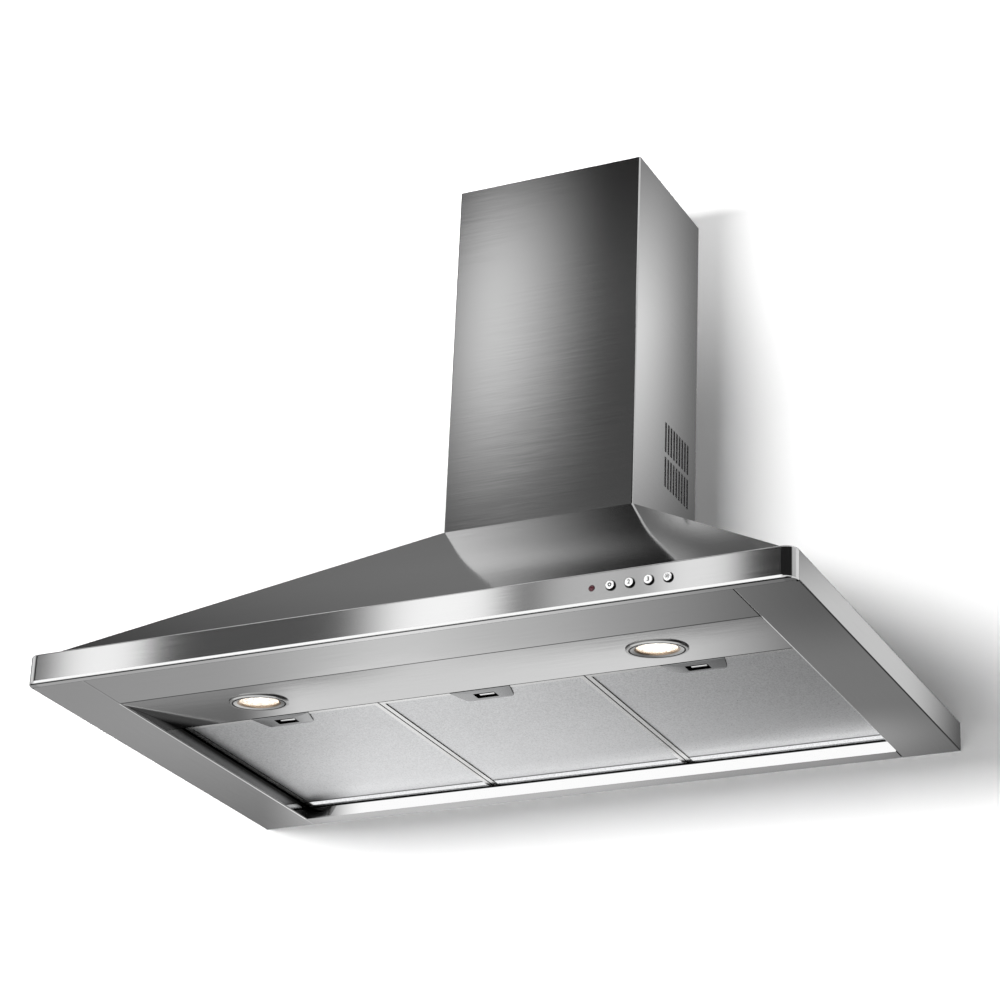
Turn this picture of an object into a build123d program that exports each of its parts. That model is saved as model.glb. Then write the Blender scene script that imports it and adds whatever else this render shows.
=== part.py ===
from build123d import *
import math
import os

# Wall-mounted pyramid range hood with a chimney, in millimetres.
# X runs to the right, Y into the wall and Z up. The origin is on the wall face,
# at the middle of the underside's rear edge.

# Body sheets
WIDTH = 898.0
DEPTH = 540.0
SHEET = 1.0
BEND = 1.6
BAND_HEIGHT = 34.0
CORNER_RADIUS = 14.0
CORNER_RUN = 2.0
TOP_LEDGE = 10.0
FRONT_FLANGE = 12.0
SIDE_STRIP = 69.0
RECESS_SPARE = 1.5
REAR_STRIP = 22.0
SEAM = 0.4
CANOPY_RISE = 243.0

# Underside and lamp panel
FLAT_PANEL = 76.0
LAMP_PANEL_RUN = 131.0
LAMP_PANEL_RISE = 16.0

# Chimney, set out round the duct that runs inside it
DUCT_RADIUS = 75.0
DUCT_ROOM_Y = 20.0
DUCT_ROOM_X = 47.0
CHIMNEY_HEIGHT = 465.0
EXTENSION_LENGTH = 300.0
EXTENSION_DROP = 2.0
EXTENSION_GAP = 1.0
EXTENSION_REAR = 16.0
STOP_TAB = 5.0
STOP_TAB_LENGTH = 20.0
STOP_GAP = 0.3
VENT_ROWS = 2
VENT_COLUMNS = 9
VENT_WIDTH = 5.2
VENT_HEIGHT = 39.7
VENT_PITCH = 8.6
VENT_ROW_GAP = 6.0
VENT_FROM_WALL = 26.0
VENT_FROM_CANOPY = 62.0
VENT_CORNER = 1.2

# Wall fixing
WALL_HOLE_RADIUS = 4.5
WALL_HOLES_X = 260.0
WALL_HOLES_Z = 110.0
WALL_HOLE_HEIGHT = 100.0
BRACKET_SHEET = 1.5
BRACKET_HEIGHT = 24.0
BRACKET_EAR = 13.0
BRACKET_HOLE_RADIUS = 3.2
BRACKET_HOLES_X = 160.0
BRACKET_STEP = 3.0
BRACKET_FROM_TOP = 2.0
EXTENSION_EAR = 34.0

# Deck between canopy and chimney
DECK_SHEET = 1.2
DECK_GAP = 0.1
CLIP_HEIGHT = 22.0
CLIP_FOOT = 14.0
CLIP_LENGTH = 60.0
CLIP_GAP = 0.3

# Spot lamps
LAMP_FROM_END = 209.0
LAMP_HOLE_RADIUS = 27.6
BEZEL_RADIUS = 33.6
BEZEL_PROUD = 2.2
BEZEL_SLEEVE = 14.0
BEZEL_WALL = 1.4
BEZEL_GAP = 0.6
BEZEL_CHAMFER = 1.1
GROOVE_INNER = 28.6
GROOVE_WIDTH = 1.6
GROOVE_DEPTH = 1.1
APERTURE_RADIUS = 22.2
LENS_THICK = 2.4
LENS_GAP = 0.3
BULB_LENGTH = 48.0
BULB_WALL = 2.0
BULB_NECK_RADIUS = 12.0
BULB_BELL_RADIUS = 20.4
BULB_BELL_HEIGHT = 20.0
BULB_BASE_RADIUS = 9.0
BULB_BASE_LENGTH = 12.0
HOLDER_RADIUS = 13.0
HOLDER_LENGTH = 20.0

# Push buttons and indicator
BUTTON_COUNT = 4
BUTTON_RADIUS = 5.0
BUTTON_PITCH = 20.9
BUTTON_FROM_END = 133.0
BUTTON_PROUD = 3.2
BUTTON_CROWN = 0.35
BUTTON_DEPTH = 6.9
BUTTON_TRAVEL = 2.4
BUTTON_HOLE_GAP = 0.7
STEM_RADIUS = 3.0
STEM_LENGTH = 9.0
STEM_GAP = 0.06
BORE_SPARE = 1.5
INDICATOR_RADIUS = 3.3
INDICATOR_PROUD = 1.8
INDICATOR_GAP = 0.25
SWITCH_BLOCK_DEPTH = 20.0
SWITCH_BLOCK_HEIGHT = 24.0
SWITCH_BLOCK_END = 14.0
SWITCH_POST_RADIUS = 2.5
SWITCH_POST_INSET = 4.0

# Grease filters and their latches
FILTER_COUNT = 3
FILTER_THICK = 9.0
FILTER_GAP = 1.6
FILTER_SIDE_GAP = 2.4
FILTER_FRONT_GAP = 1.6
FILTER_STEP = 0.5
FILTER_SEAT = 12.0
FILTER_SEAT_SPARE = 2.4
FILTER_SEAT_GAP = 0.3
RIM = 5.4
MESH_INSET = 1.0
MESH_THICK = 3.0
MESH_GAP = 0.2
HANDLE_FRONT = 74.0
HANDLE_REAR = 57.0
HANDLE_DEPTH = 30.0
HANDLE_CORNER = 6.0
HANDLE_PROUD = 0.6
HANDLE_THICK = 6.6
HANDLE_GAP = 0.2
SLOT_WIDTH = 26.0
SLOT_DEPTH = 14.0
SLOT_FROM_FRONT = 10.0
LATCH_BAR = 4.0
LATCH_BAR_GAP = 1.0
LATCH_TRAVEL = 3.6
LATCH_STOP_GAP = 0.4
LATCH_RECESS = 0.5
TONGUE_WIDTH = 17.0
TONGUE_THICK = 1.5
TONGUE_LIFT = 0.7
TONGUE_TIP_GAP = 0.3
TONGUE_LIP_GAP = 0.2

# Blower
BLOWER_DROP = 91.8
BLOWER_WIDTH = 120.0
SCROLL_ROOM = 9.0
SCROLL_GROWTH = 12.0
SCROLL_WALL = 1.2
TONGUE_BITE = 5.0
TONGUE_ANGLE = 50.0
TIP_GAP = 2.8
BLADE_COUNT = 30
BLADE_DEPTH = 11.0
BLADE_THICK = 1.2
BLADE_ANGLE = 35.0
IMPELLER_SIDE_GAP = 8.8
RIM_RING = 2.0
INLET_LAP = 13.0
MOTOR_GAP = 16.0
MOTOR_LENGTH = 72.0
SHAFT_RADIUS = 4.0
SHAFT_GAP = 0.05
SHAFT_IN_MOTOR = 54.0
SHAFT_FOOT_GAP = 1.0
HUB_GAP = 13.0
HUB_DISC = 2.5
HUB_RADIUS = 11.0
HUB_LENGTH = 16.0
HUB_FIT = 0.02
SHAFT_END = 4.0
ARM_COUNT = 3
ARM_WIDTH = 14.0
ARM_THICK = 2.0
ARM_LAP = 10.0
ARM_HUB_INSET = 12.0
SCREW_RADIUS = 2.0
SCREW_GAP = 0.15
SCREW_HEAD_RADIUS = 4.0
SCREW_HEAD = 3.0
FLANGE_WIDTH = 14.0
FLANGE_THICK = 1.5
FLANGE_LENGTH = 126.0
FLANGE_SCREWS_Y = 100.0

# Outlet collar and non-return flaps
COLLAR_WALL = 1.2
COLLAR_LENGTH = 58.5
COLLAR_BASE = 1.5
COLLAR_EDGE_Y = 9.0
COLLAR_EDGE_X = 35.0
FLAP_HEIGHT = 40.0
FLAP_THICK = 1.5
FLAP_GAP = 1.0
FLAP_DROP = 1.0
FLAP_SEAT_GAP = 0.25
SEAT_RING = 4.8
SEAT_RING_THICK = 2.5
PIN_RADIUS = 1.5
PIN_GAP = 0.08
BARREL_RADIUS = 3.0
BARREL_GAP = 0.6
BARREL_OUTER = 60.0
BARREL_INNER = 20.0
LUG = 5.0
LUG_WIDTH = 8.0
LUG_TOP = 3.5
LUG_GAP = 1.5

# Electrics on the back panel and deck
CONTROL_BOX_X = 150.0
CONTROL_BOX_Z = 45.0
CONTROL_BOX_WIDTH = 100.0
CONTROL_BOX_HEIGHT = 60.0
CONTROL_BOX_DEPTH = 36.0
CONTROL_BOX_WALL = 2.0
BOARD_THICK = 1.6
BOARD_POST = 5.0
BOARD_GAP = 2.0
CAPACITOR_RADIUS = 16.0
CAPACITOR_LENGTH = 58.0
CAPACITOR_FOOT = 28.0
CAPACITOR_GAP = 6.0
GLAND_RADIUS = 6.5
GLAND_BORE = 3.6
GLAND_FLANGE = 9.5
GLAND_FLANGE_THICK = 3.0
GLAND_TOP = 18.0
GLAND_NUT = 5.0
GLAND_GAP = 0.2
GLAND_FROM_EDGE = 17.0
GLAND_FROM_WALL = 40.0

# Places worked out from the sizes above
HALF_WIDTH = WIDTH / 2
FRONT = -DEPTH
BACK = -SHEET
WRAP = CORNER_RADIUS + CORNER_RUN
CANOPY_TOP = BAND_HEIGHT + CANOPY_RISE
CHIMNEY_TOP = CANOPY_TOP + CHIMNEY_HEIGHT
CHIMNEY_HALF = DUCT_RADIUS + DUCT_ROOM_X
CHIMNEY_DEPTH = 2 * (DUCT_RADIUS + DUCT_ROOM_Y)
DUCT_Y = -CHIMNEY_DEPTH / 2
BASE_HALF = HALF_WIDTH - TOP_LEDGE
BASE_FRONT = FRONT + TOP_LEDGE
OPENING_HALF = HALF_WIDTH - SIDE_STRIP
PANEL_HALF = OPENING_HALF - SEAM
FOLD_Y = FRONT + FRONT_FLANGE + FLAT_PANEL
LIP_Y = FOLD_Y + LAMP_PANEL_RUN
LAMP_TILT = math.degrees(math.atan2(LAMP_PANEL_RISE, LAMP_PANEL_RUN))
FILTER_BOTTOM = LAMP_PANEL_RISE + FILTER_STEP
FILTER_TOP = FILTER_BOTTOM + FILTER_THICK
FILTER_WIDTH = (2 * OPENING_HALF - 2 * FILTER_SIDE_GAP - (FILTER_COUNT - 1) * FILTER_GAP) / FILTER_COUNT
FILTER_FRONT = LIP_Y + FILTER_FRONT_GAP
FILTER_REAR = -REAR_STRIP + FILTER_SEAT - FILTER_SEAT_SPARE
HANDLE_TOP = FILTER_BOTTOM - HANDLE_PROUD + HANDLE_THICK
TONGUE_BOTTOM = HANDLE_TOP + TONGUE_LIFT
SLOT_FRONT = FILTER_FRONT + SLOT_FROM_FRONT
SLOT_REAR = SLOT_FRONT + SLOT_DEPTH
BAR_REAR = SLOT_REAR - LATCH_STOP_GAP - LATCH_TRAVEL
RECESS_TOP = FILTER_TOP + RECESS_SPARE
BUTTON_Z = BAND_HEIGHT / 2
BUTTON_X = [HALF_WIDTH - BUTTON_FROM_END - BUTTON_PITCH * i for i in reversed(range(BUTTON_COUNT))]
INDICATOR_X = BUTTON_X[0] - BUTTON_PITCH
SWITCH_FRONT = FRONT - BUTTON_PROUD + BUTTON_DEPTH + BUTTON_TRAVEL + BUTTON_HOLE_GAP
SLOPE_FRONT = math.atan2(CANOPY_RISE, -CHIMNEY_DEPTH - BASE_FRONT)
SLOPE_SIDE = math.atan2(CANOPY_RISE, BASE_HALF - CHIMNEY_HALF)
DECK_HALF = CHIMNEY_HALF - SHEET / math.sin(SLOPE_SIDE) - DECK_GAP
DECK_FRONT = -CHIMNEY_DEPTH + SHEET / math.sin(SLOPE_FRONT) + DECK_GAP
DECK_BOTTOM = CANOPY_TOP - DECK_SHEET
BLOWER_Z = DECK_BOTTOM - BLOWER_DROP
BLOWER_HALF = BLOWER_WIDTH / 2
SCROLL_FRONT = CHIMNEY_DEPTH / 2 - SCROLL_ROOM
SCROLL_BOTTOM = SCROLL_FRONT - SCROLL_GROWTH / 2
SCROLL_REAR = SCROLL_FRONT - SCROLL_GROWTH
SCROLL_TONGUE = SCROLL_REAR - TONGUE_BITE
IMPELLER_RADIUS = SCROLL_TONGUE - SCROLL_WALL - TIP_GAP
IMPELLER_HALF = BLOWER_HALF - SCROLL_WALL - IMPELLER_SIDE_GAP
BLADE_INNER = IMPELLER_RADIUS - BLADE_DEPTH
INLET_RADIUS = IMPELLER_RADIUS - INLET_LAP
MOTOR_RADIUS = BLADE_INNER - MOTOR_GAP
MOTOR_END = -BLOWER_HALF + MOTOR_LENGTH
HUB_X = MOTOR_END + HUB_GAP
ARM_REACH = INLET_RADIUS + ARM_LAP
ARM_ANGLES = [90 + 360 / ARM_COUNT * i for i in range(ARM_COUNT)]
FLANGE_SCREW_X = BLOWER_HALF + FLANGE_WIDTH / 2
COLLAR_BORE = DUCT_RADIUS - COLLAR_WALL
FLAP_Z = CANOPY_TOP + FLAP_HEIGHT
FLAP_RADIUS = COLLAR_BORE - FLAP_GAP
SEAT_TOP = FLAP_Z - FLAP_DROP - FLAP_THICK / 2 - FLAP_SEAT_GAP
EXTENSION_HALF = CHIMNEY_HALF - SHEET - EXTENSION_GAP
EXTENSION_FRONT = -CHIMNEY_DEPTH + SHEET + EXTENSION_GAP
EXTENSION_TOP = CHIMNEY_TOP - EXTENSION_DROP
EXTENSION_BOTTOM = EXTENSION_TOP - EXTENSION_LENGTH
EXTENSION_BRACKET_TOP = EXTENSION_TOP - BRACKET_FROM_TOP
COVER_BRACKET_TOP = EXTENSION_BRACKET_TOP - BRACKET_HEIGHT - BRACKET_STEP
GLAND_X = DECK_HALF - GLAND_FROM_EDGE


# Shared shapes
def block(x0, x1, y0, y1, z0, z1):
    """A box between two corners."""
    return Pos((x0 + x1) / 2, (y0 + y1) / 2, (z0 + z1) / 2) * Box(x1 - x0, y1 - y0, z1 - z0)


def rod(start, along, length, radius):
    """A round bar from a point, along a direction."""
    align = (Align.CENTER, Align.CENTER, Align.MIN)
    return Plane(origin=start, z_dir=along).location * Cylinder(radius, length, align=align)


def run_x(section, x0, x1):
    """A YZ section carried along X."""
    return Pos(x0, 0, 0) * extrude(Plane.YZ * section, amount=x1 - x0, dir=(1, 0, 0))


def run_y(section, y0, y1):
    """An XZ section carried along Y."""
    return Pos(0, y0, 0) * extrude(Plane.XZ * section, amount=y1 - y0, dir=(0, 1, 0))


def run_z(section, z0, z1):
    """An XY section carried along Z."""
    return Pos(0, 0, z0) * extrude(section, amount=z1 - z0, dir=(0, 0, 1))


def turned(points):
    """A solid of revolution about Z from its half section in radius and height."""
    return revolve(Plane.XZ * make_face(Polyline(*points, close=True)), axis=Axis.Z)


def polygon(points):
    """A flat face with straight sides."""
    return make_face(Polyline(*points, close=True))


def beside(path, distance):
    """The corners of an open path, moved to its right."""
    steps = [(Vector(*b) - Vector(*a)).normalized() for a, b in zip(path, path[1:])]
    rights = [Vector(step.Y, -step.X) for step in steps]
    pairs = zip([rights[0]] + rights, rights + [rights[-1]])
    shifts = [(a + b) * (distance / (1 + a.dot(b))) for a, b in pairs]
    return [(p[0] + s.X, p[1] + s.Y) for p, s in zip(path, shifts)]


def bent_sheet(path, thickness=SHEET):
    """The section of a bent sheet: its outside follows the path, its thickness lies to the right."""
    inside = beside(path, thickness)
    section = polygon(list(path) + inside[::-1])
    for a, b, c, inner in zip(path, path[1:], path[2:], inside[1:]):
        turn = (b[0] - a[0]) * (c[1] - b[1]) - (b[1] - a[1]) * (c[0] - b[0])
        wide, tight = (b, inner) if turn < 0 else (inner, b)
        for corner, radius in ((wide, BEND), (tight, BEND - thickness)):
            if radius > 0:
                nearest = section.vertices().sort_by_distance((corner[0], corner[1], 0))[0]
                section = fillet(nearest, radius)
    return section


def both_sides(part):
    """A right-hand piece and its mirror image on the left."""
    return mirror(part, about=Plane.YZ), part


# Band and underside
def front_outline(inset, rear):
    """Plan of the wrapped front band, set in from its face."""
    half = HALF_WIDTH - inset
    plan = polygon([(-half, FRONT + inset), (half, FRONT + inset), (half, rear), (-half, rear)])
    return fillet(plan.vertices().sort_by(Axis.Y)[:2], CORNER_RADIUS - inset)


def fascia():
    rear = FRONT + WRAP
    band = run_z(front_outline(0, rear), 0, BAND_HEIGHT)
    level = band.edges().filter_by(lambda e: abs(e.center().Z - BAND_HEIGHT / 2) > BAND_HEIGHT / 2 - SHEET)
    band = fillet(level.filter_by(lambda e: e.center().Y < rear - CORNER_RUN / 4), BEND)
    band -= run_z(front_outline(SHEET, rear + WRAP), SHEET, BAND_HEIGHT - SHEET)
    inner = HALF_WIDTH - SHEET
    band -= block(-inner, inner, FRONT + FRONT_FLANGE, rear + WRAP, -SHEET, BAND_HEIGHT / 2)
    band -= block(-inner, inner, FRONT + TOP_LEDGE, rear + WRAP, BAND_HEIGHT / 2, BAND_HEIGHT + SHEET)
    for x in BUTTON_X:
        band -= rod((x, FRONT - SHEET, BUTTON_Z), (0, 1, 0), 3 * SHEET, BUTTON_RADIUS + BUTTON_HOLE_GAP)
    hole = INDICATOR_RADIUS + INDICATOR_GAP
    return band - rod((INDICATOR_X, FRONT - SHEET, BUTTON_Z), (0, 1, 0), 3 * SHEET, hole)


def side_panels():
    path = [
        (HALF_WIDTH - TOP_LEDGE, BAND_HEIGHT),
        (HALF_WIDTH, BAND_HEIGHT),
        (HALF_WIDTH, 0),
        (OPENING_HALF, 0),
        (OPENING_HALF, RECESS_TOP),
    ]
    panel = run_y(bent_sheet(path), FRONT + WRAP, BACK)
    tab = [(HALF_WIDTH - SHEET - CORNER_RUN, 0)] + path[3:]
    return both_sides(panel + run_y(bent_sheet(tab), FRONT + FRONT_FLANGE + SEAM, FRONT + WRAP))


def lamp_places():
    """The two lamp centres on the underside of the sloping panel, with Z pointing into the hood."""
    tilt = math.radians(LAMP_TILT)
    centre_y = (FOLD_Y + LIP_Y) / 2
    return [
        Plane(
            origin=(x, centre_y, LAMP_PANEL_RISE / 2),
            x_dir=(1, 0, 0),
            z_dir=(0, -math.sin(tilt), math.cos(tilt)),
        ).location
        for x in (LAMP_FROM_END - HALF_WIDTH, HALF_WIDTH - LAMP_FROM_END)
    ]


def lamp_panel():
    path = [
        (LIP_Y, TONGUE_BOTTOM - TONGUE_LIP_GAP),
        (LIP_Y, LAMP_PANEL_RISE),
        (FOLD_Y, 0),
        (FRONT + FRONT_FLANGE + SEAM, 0),
    ]
    panel = run_x(bent_sheet(path), -PANEL_HALF, PANEL_HALF)
    for place in lamp_places():
        panel -= place * Cylinder(LAMP_HOLE_RADIUS, 4 * SHEET)
    return panel


def rear_strip():
    seat = FILTER_BOTTOM - FILTER_SEAT_GAP
    path = [(BACK, 0), (-REAR_STRIP, 0), (-REAR_STRIP, seat), (-REAR_STRIP + FILTER_SEAT, seat)]
    return run_x(bent_sheet(path), -PANEL_HALF, PANEL_HALF)


def back_panel():
    outline = [
        (HALF_WIDTH, 0),
        (HALF_WIDTH, BAND_HEIGHT),
        (BASE_HALF, BAND_HEIGHT),
        (CHIMNEY_HALF, CANOPY_TOP),
    ]
    panel = run_y(polygon(outline + [(-x, z) for x, z in outline[::-1]]), BACK, 0)
    for x in (-WALL_HOLES_X / 2, WALL_HOLES_X / 2):
        for z in (WALL_HOLE_HEIGHT, WALL_HOLE_HEIGHT + WALL_HOLES_Z):
            panel -= rod((x, 2 * BACK, z), (0, 1, 0), 4 * SHEET, WALL_HOLE_RADIUS)
    return panel


# Canopy
def canopy_panels():
    """The front and side sheets of the pyramid, mitred on the vertical planes through its hips."""
    stock = block(-BASE_HALF, BASE_HALF, BASE_FRONT, BACK, BAND_HEIGHT, CANOPY_TOP)
    front_out = Vector(0, -math.sin(SLOPE_FRONT), math.cos(SLOPE_FRONT))
    side_out = Vector(math.sin(SLOPE_SIDE), 0, math.cos(SLOPE_SIDE))
    corner = Vector(BASE_HALF, BASE_FRONT, BAND_HEIGHT)
    top_corner = Vector(CHIMNEY_HALF, -CHIMNEY_DEPTH, CANOPY_TOP)
    along = top_corner - corner
    right_hip = Plane(origin=corner, z_dir=(along.Y, -along.X, 0))
    left_hip = Plane(origin=(-corner.X, corner.Y, corner.Z), z_dir=(-along.Y, -along.X, 0))

    def skin(outward):
        outside = Plane(origin=corner, z_dir=outward)
        inside = Plane(origin=corner - outward * SHEET, z_dir=outward)
        return split(split(stock, outside, Keep.BOTTOM), inside, Keep.TOP)

    front = split(split(skin(front_out), right_hip, Keep.BOTTOM), left_hip, Keep.BOTTOM)
    left, right = both_sides(split(skin(side_out), right_hip, Keep.TOP))
    return front, left, right


def canopy_deck():
    deck = block(-DECK_HALF, DECK_HALF, DECK_FRONT, BACK, DECK_BOTTOM, CANOPY_TOP)
    deck -= rod((0, DUCT_Y, DECK_BOTTOM - SHEET), (0, 0, 1), 4 * SHEET, COLLAR_BORE)
    gland = (GLAND_X, -GLAND_FROM_WALL, DECK_BOTTOM - SHEET)
    deck -= rod(gland, (0, 0, 1), 4 * SHEET, GLAND_RADIUS + GLAND_GAP)
    return deck - flange_screw_holes()


def chimney_clips():
    """An angle on each side of the deck that the chimney cover slips over."""
    outside = CHIMNEY_HALF - SHEET - CLIP_GAP
    path = [(outside, CANOPY_TOP + CLIP_HEIGHT), (outside, CANOPY_TOP), (outside - CLIP_FOOT, CANOPY_TOP)]
    y0 = DUCT_Y - CLIP_LENGTH / 2
    return Compound(both_sides(run_y(bent_sheet(path), y0, y0 + CLIP_LENGTH)))


# Chimney
def channel(half, front, rear, z0, z1):
    """A three-sided sheet channel, open towards the wall."""
    return run_z(bent_sheet([(-half, rear), (-half, front), (half, front), (half, rear)][::-1]), z0, z1)


def vent_slots():
    slots = Sketch()
    for row in range(VENT_ROWS):
        z = CANOPY_TOP + VENT_FROM_CANOPY + VENT_HEIGHT / 2 + row * (VENT_HEIGHT + VENT_ROW_GAP)
        for column in range(VENT_COLUMNS):
            y = -VENT_FROM_WALL - column * VENT_PITCH
            slots += Pos(y, z) * RectangleRounded(VENT_WIDTH, VENT_HEIGHT, VENT_CORNER)
    return run_x(slots, -2 * CHIMNEY_HALF, 2 * CHIMNEY_HALF)


def chimney_cover():
    cover = channel(CHIMNEY_HALF, -CHIMNEY_DEPTH, 0, CANOPY_TOP, CHIMNEY_TOP) - vent_slots()
    z1 = EXTENSION_BOTTOM - STOP_GAP
    y0 = DUCT_Y - STOP_TAB_LENGTH / 2
    for side in (-1, 1):
        x0, x1 = sorted(side * (CHIMNEY_HALF - SHEET - d) for d in (0, STOP_TAB))
        cover += block(x0, x1, y0, y0 + STOP_TAB_LENGTH, z1 - SHEET, z1)
    return cover


def chimney_extension():
    return channel(EXTENSION_HALF, EXTENSION_FRONT, -EXTENSION_REAR, EXTENSION_BOTTOM, EXTENSION_TOP)


def wall_bracket(half, ear, top):
    """A strip screwed to the wall, with an ear bent forward at each end."""
    bottom = top - BRACKET_HEIGHT
    path = [(half, -ear), (half, 0), (-half, 0), (-half, -ear)]
    bracket = run_z(bent_sheet(path[::-1], BRACKET_SHEET), bottom, top)
    for x in (-BRACKET_HOLES_X / 2, BRACKET_HOLES_X / 2):
        hole = (x, -2 * BRACKET_SHEET, (bottom + top) / 2)
        bracket -= rod(hole, (0, 1, 0), 4 * BRACKET_SHEET, BRACKET_HOLE_RADIUS)
    return bracket


# Spot lamps
def lamp_pieces():
    """Bezel, lens, bulb and holder of one lamp, with the panel's underside at Z = 0."""
    sleeve = LAMP_HOLE_RADIUS - BEZEL_GAP
    inner = sleeve - BEZEL_WALL
    seat = SHEET
    face = -BEZEL_PROUD
    groove_outer = GROOVE_INNER + GROOVE_WIDTH
    groove_top = face + GROOVE_DEPTH
    bezel = turned([
        (sleeve, BEZEL_SLEEVE), (sleeve, 0), (BEZEL_RADIUS, 0), (BEZEL_RADIUS, face + BEZEL_CHAMFER),
        (BEZEL_RADIUS - BEZEL_CHAMFER, face), (groove_outer, face), (groove_outer, groove_top),
        (GROOVE_INNER, groove_top), (GROOVE_INNER, face), (APERTURE_RADIUS + BEZEL_PROUD, groove_top),
        (APERTURE_RADIUS, 0), (APERTURE_RADIUS, seat), (inner, seat), (inner, BEZEL_SLEEVE),
    ])
    rim = inner - LENS_GAP
    glass = seat + LENS_THICK
    lens = turned([(0, seat), (rim, seat), (rim, glass), (0, glass)])
    neck = glass + BULB_LENGTH - BULB_BASE_LENGTH
    top = glass + BULB_LENGTH
    throat = BULB_NECK_RADIUS - BULB_WALL
    waist = glass + BULB_BELL_HEIGHT
    bulb = turned([
        (rim - BULB_WALL, glass), (rim, glass), (BULB_BELL_RADIUS, waist), (BULB_NECK_RADIUS, neck),
        (BULB_BASE_RADIUS, neck), (BULB_BASE_RADIUS, top), (0, top), (0, neck - BULB_WALL),
        (throat, neck - BULB_WALL), (BULB_BELL_RADIUS - BULB_WALL, waist),
    ])
    holder = turned([(0, top), (HOLDER_RADIUS, top), (HOLDER_RADIUS, top + HOLDER_LENGTH),
                     (0, top + HOLDER_LENGTH)])
    return {"bezel": bezel, "lens": lens, "bulb": bulb, "holder": holder}


# Push buttons
def on_fascia(x):
    """A place on the fascia's face, with Z pointing out to the front."""
    return Plane(origin=(x, FRONT, BUTTON_Z), x_dir=(1, 0, 0), z_dir=(0, -1, 0)).location


def crowned(radius, crown, proud, depth):
    """A round cap with a domed face, standing proud of Z = 0 and reaching back from its face."""
    up = (0, 0, 1)
    ball = (radius ** 2 + crown ** 2) / (2 * crown)
    dome = rod((0, 0, proud - crown), up, crown, radius) & (Pos(0, 0, proud - ball) * Sphere(ball))
    return rod((0, 0, proud - depth), up, depth - crown, radius) + dome


def button():
    cap = crowned(BUTTON_RADIUS, BUTTON_CROWN, BUTTON_PROUD, BUTTON_DEPTH)
    return cap + rod((0, 0, BUTTON_PROUD - BUTTON_DEPTH), (0, 0, -1), STEM_LENGTH, STEM_RADIUS)


def indicator_lens():
    depth = INDICATOR_PROUD + SWITCH_FRONT - FRONT
    return on_fascia(INDICATOR_X) * crowned(INDICATOR_RADIUS, INDICATOR_PROUD, INDICATOR_PROUD, depth)


def switch_block():
    x0, x1 = INDICATOR_X - SWITCH_BLOCK_END, BUTTON_X[-1] + SWITCH_BLOCK_END
    z0 = BUTTON_Z - SWITCH_BLOCK_HEIGHT / 2
    body = block(x0, x1, SWITCH_FRONT, SWITCH_FRONT + SWITCH_BLOCK_DEPTH, z0, z0 + SWITCH_BLOCK_HEIGHT)
    reach = SWITCH_FRONT - FRONT - SHEET
    for x in (x0 + SWITCH_POST_INSET, x1 - SWITCH_POST_INSET):
        body += rod((x, FRONT + SHEET, BUTTON_Z), (0, 1, 0), reach, SWITCH_POST_RADIUS)
    depth = FRONT - BUTTON_PROUD + BUTTON_DEPTH + STEM_LENGTH + BUTTON_TRAVEL + BORE_SPARE - SWITCH_FRONT
    for x in BUTTON_X:
        body -= rod((x, SWITCH_FRONT, BUTTON_Z), (0, 1, 0), depth, STEM_RADIUS + STEM_GAP)
    return body


# Grease filters
def handle_plan(gap):
    """Plan of the tapered handle plate with its rounded rear corners, grown by a gap."""
    front, rear = HANDLE_FRONT / 2 + gap, HANDLE_REAR / 2 + gap
    y0, y1 = FILTER_FRONT, FILTER_FRONT + HANDLE_DEPTH + gap
    plan = polygon([(-front, y0), (front, y0), (rear, y1), (-rear, y1)])
    return fillet(plan.vertices().sort_by(Axis.Y)[-2:], HANDLE_CORNER + gap)


def handle_pocket():
    """The room that a filter leaves for its handle plate and latch."""
    lid = HANDLE_TOP + HANDLE_GAP
    half = SLOT_WIDTH / 2
    pocket = run_z(handle_plan(HANDLE_GAP), FILTER_BOTTOM - HANDLE_PROUD, lid)
    return pocket + block(-half, half, FILTER_FRONT, SLOT_REAR, lid, FILTER_TOP)


def filter_frame():
    half = FILTER_WIDTH / 2
    frame = block(-half, half, FILTER_FRONT, FILTER_REAR, FILTER_BOTTOM, FILTER_TOP)
    inner = half - RIM
    frame -= block(-inner, inner, FILTER_FRONT + RIM, FILTER_REAR - RIM, FILTER_BOTTOM, FILTER_TOP)
    return frame - handle_pocket()


def filter_mesh():
    half = FILTER_WIDTH / 2 - RIM - MESH_GAP
    edge = RIM + MESH_GAP
    mesh = block(-half, half, FILTER_FRONT + edge, FILTER_REAR - edge,
                 FILTER_BOTTOM + MESH_INSET, FILTER_BOTTOM + MESH_INSET + MESH_THICK)
    return mesh - handle_pocket()


def filter_handle():
    plate = run_z(handle_plan(0), FILTER_BOTTOM - HANDLE_PROUD, HANDLE_TOP)
    half = SLOT_WIDTH / 2
    return plate - block(-half, half, SLOT_FRONT, SLOT_REAR, 0, FILTER_TOP)


def filter_latch():
    half = SLOT_WIDTH / 2 - LATCH_BAR_GAP
    tongue_top = TONGUE_BOTTOM + TONGUE_THICK
    latch = block(-half, half, BAR_REAR - LATCH_BAR, BAR_REAR, FILTER_BOTTOM + LATCH_RECESS, tongue_top)
    return latch + block(-TONGUE_WIDTH / 2, TONGUE_WIDTH / 2, LIP_Y + TONGUE_TIP_GAP, BAR_REAR,
                         TONGUE_BOTTOM, tongue_top)


# Blower
def around(radius, degrees):
    """A point round the blower's axis, in Y and Z."""
    angle = math.radians(degrees)
    return (DUCT_Y + radius * math.cos(angle), BLOWER_Z + radius * math.sin(angle))


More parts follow.
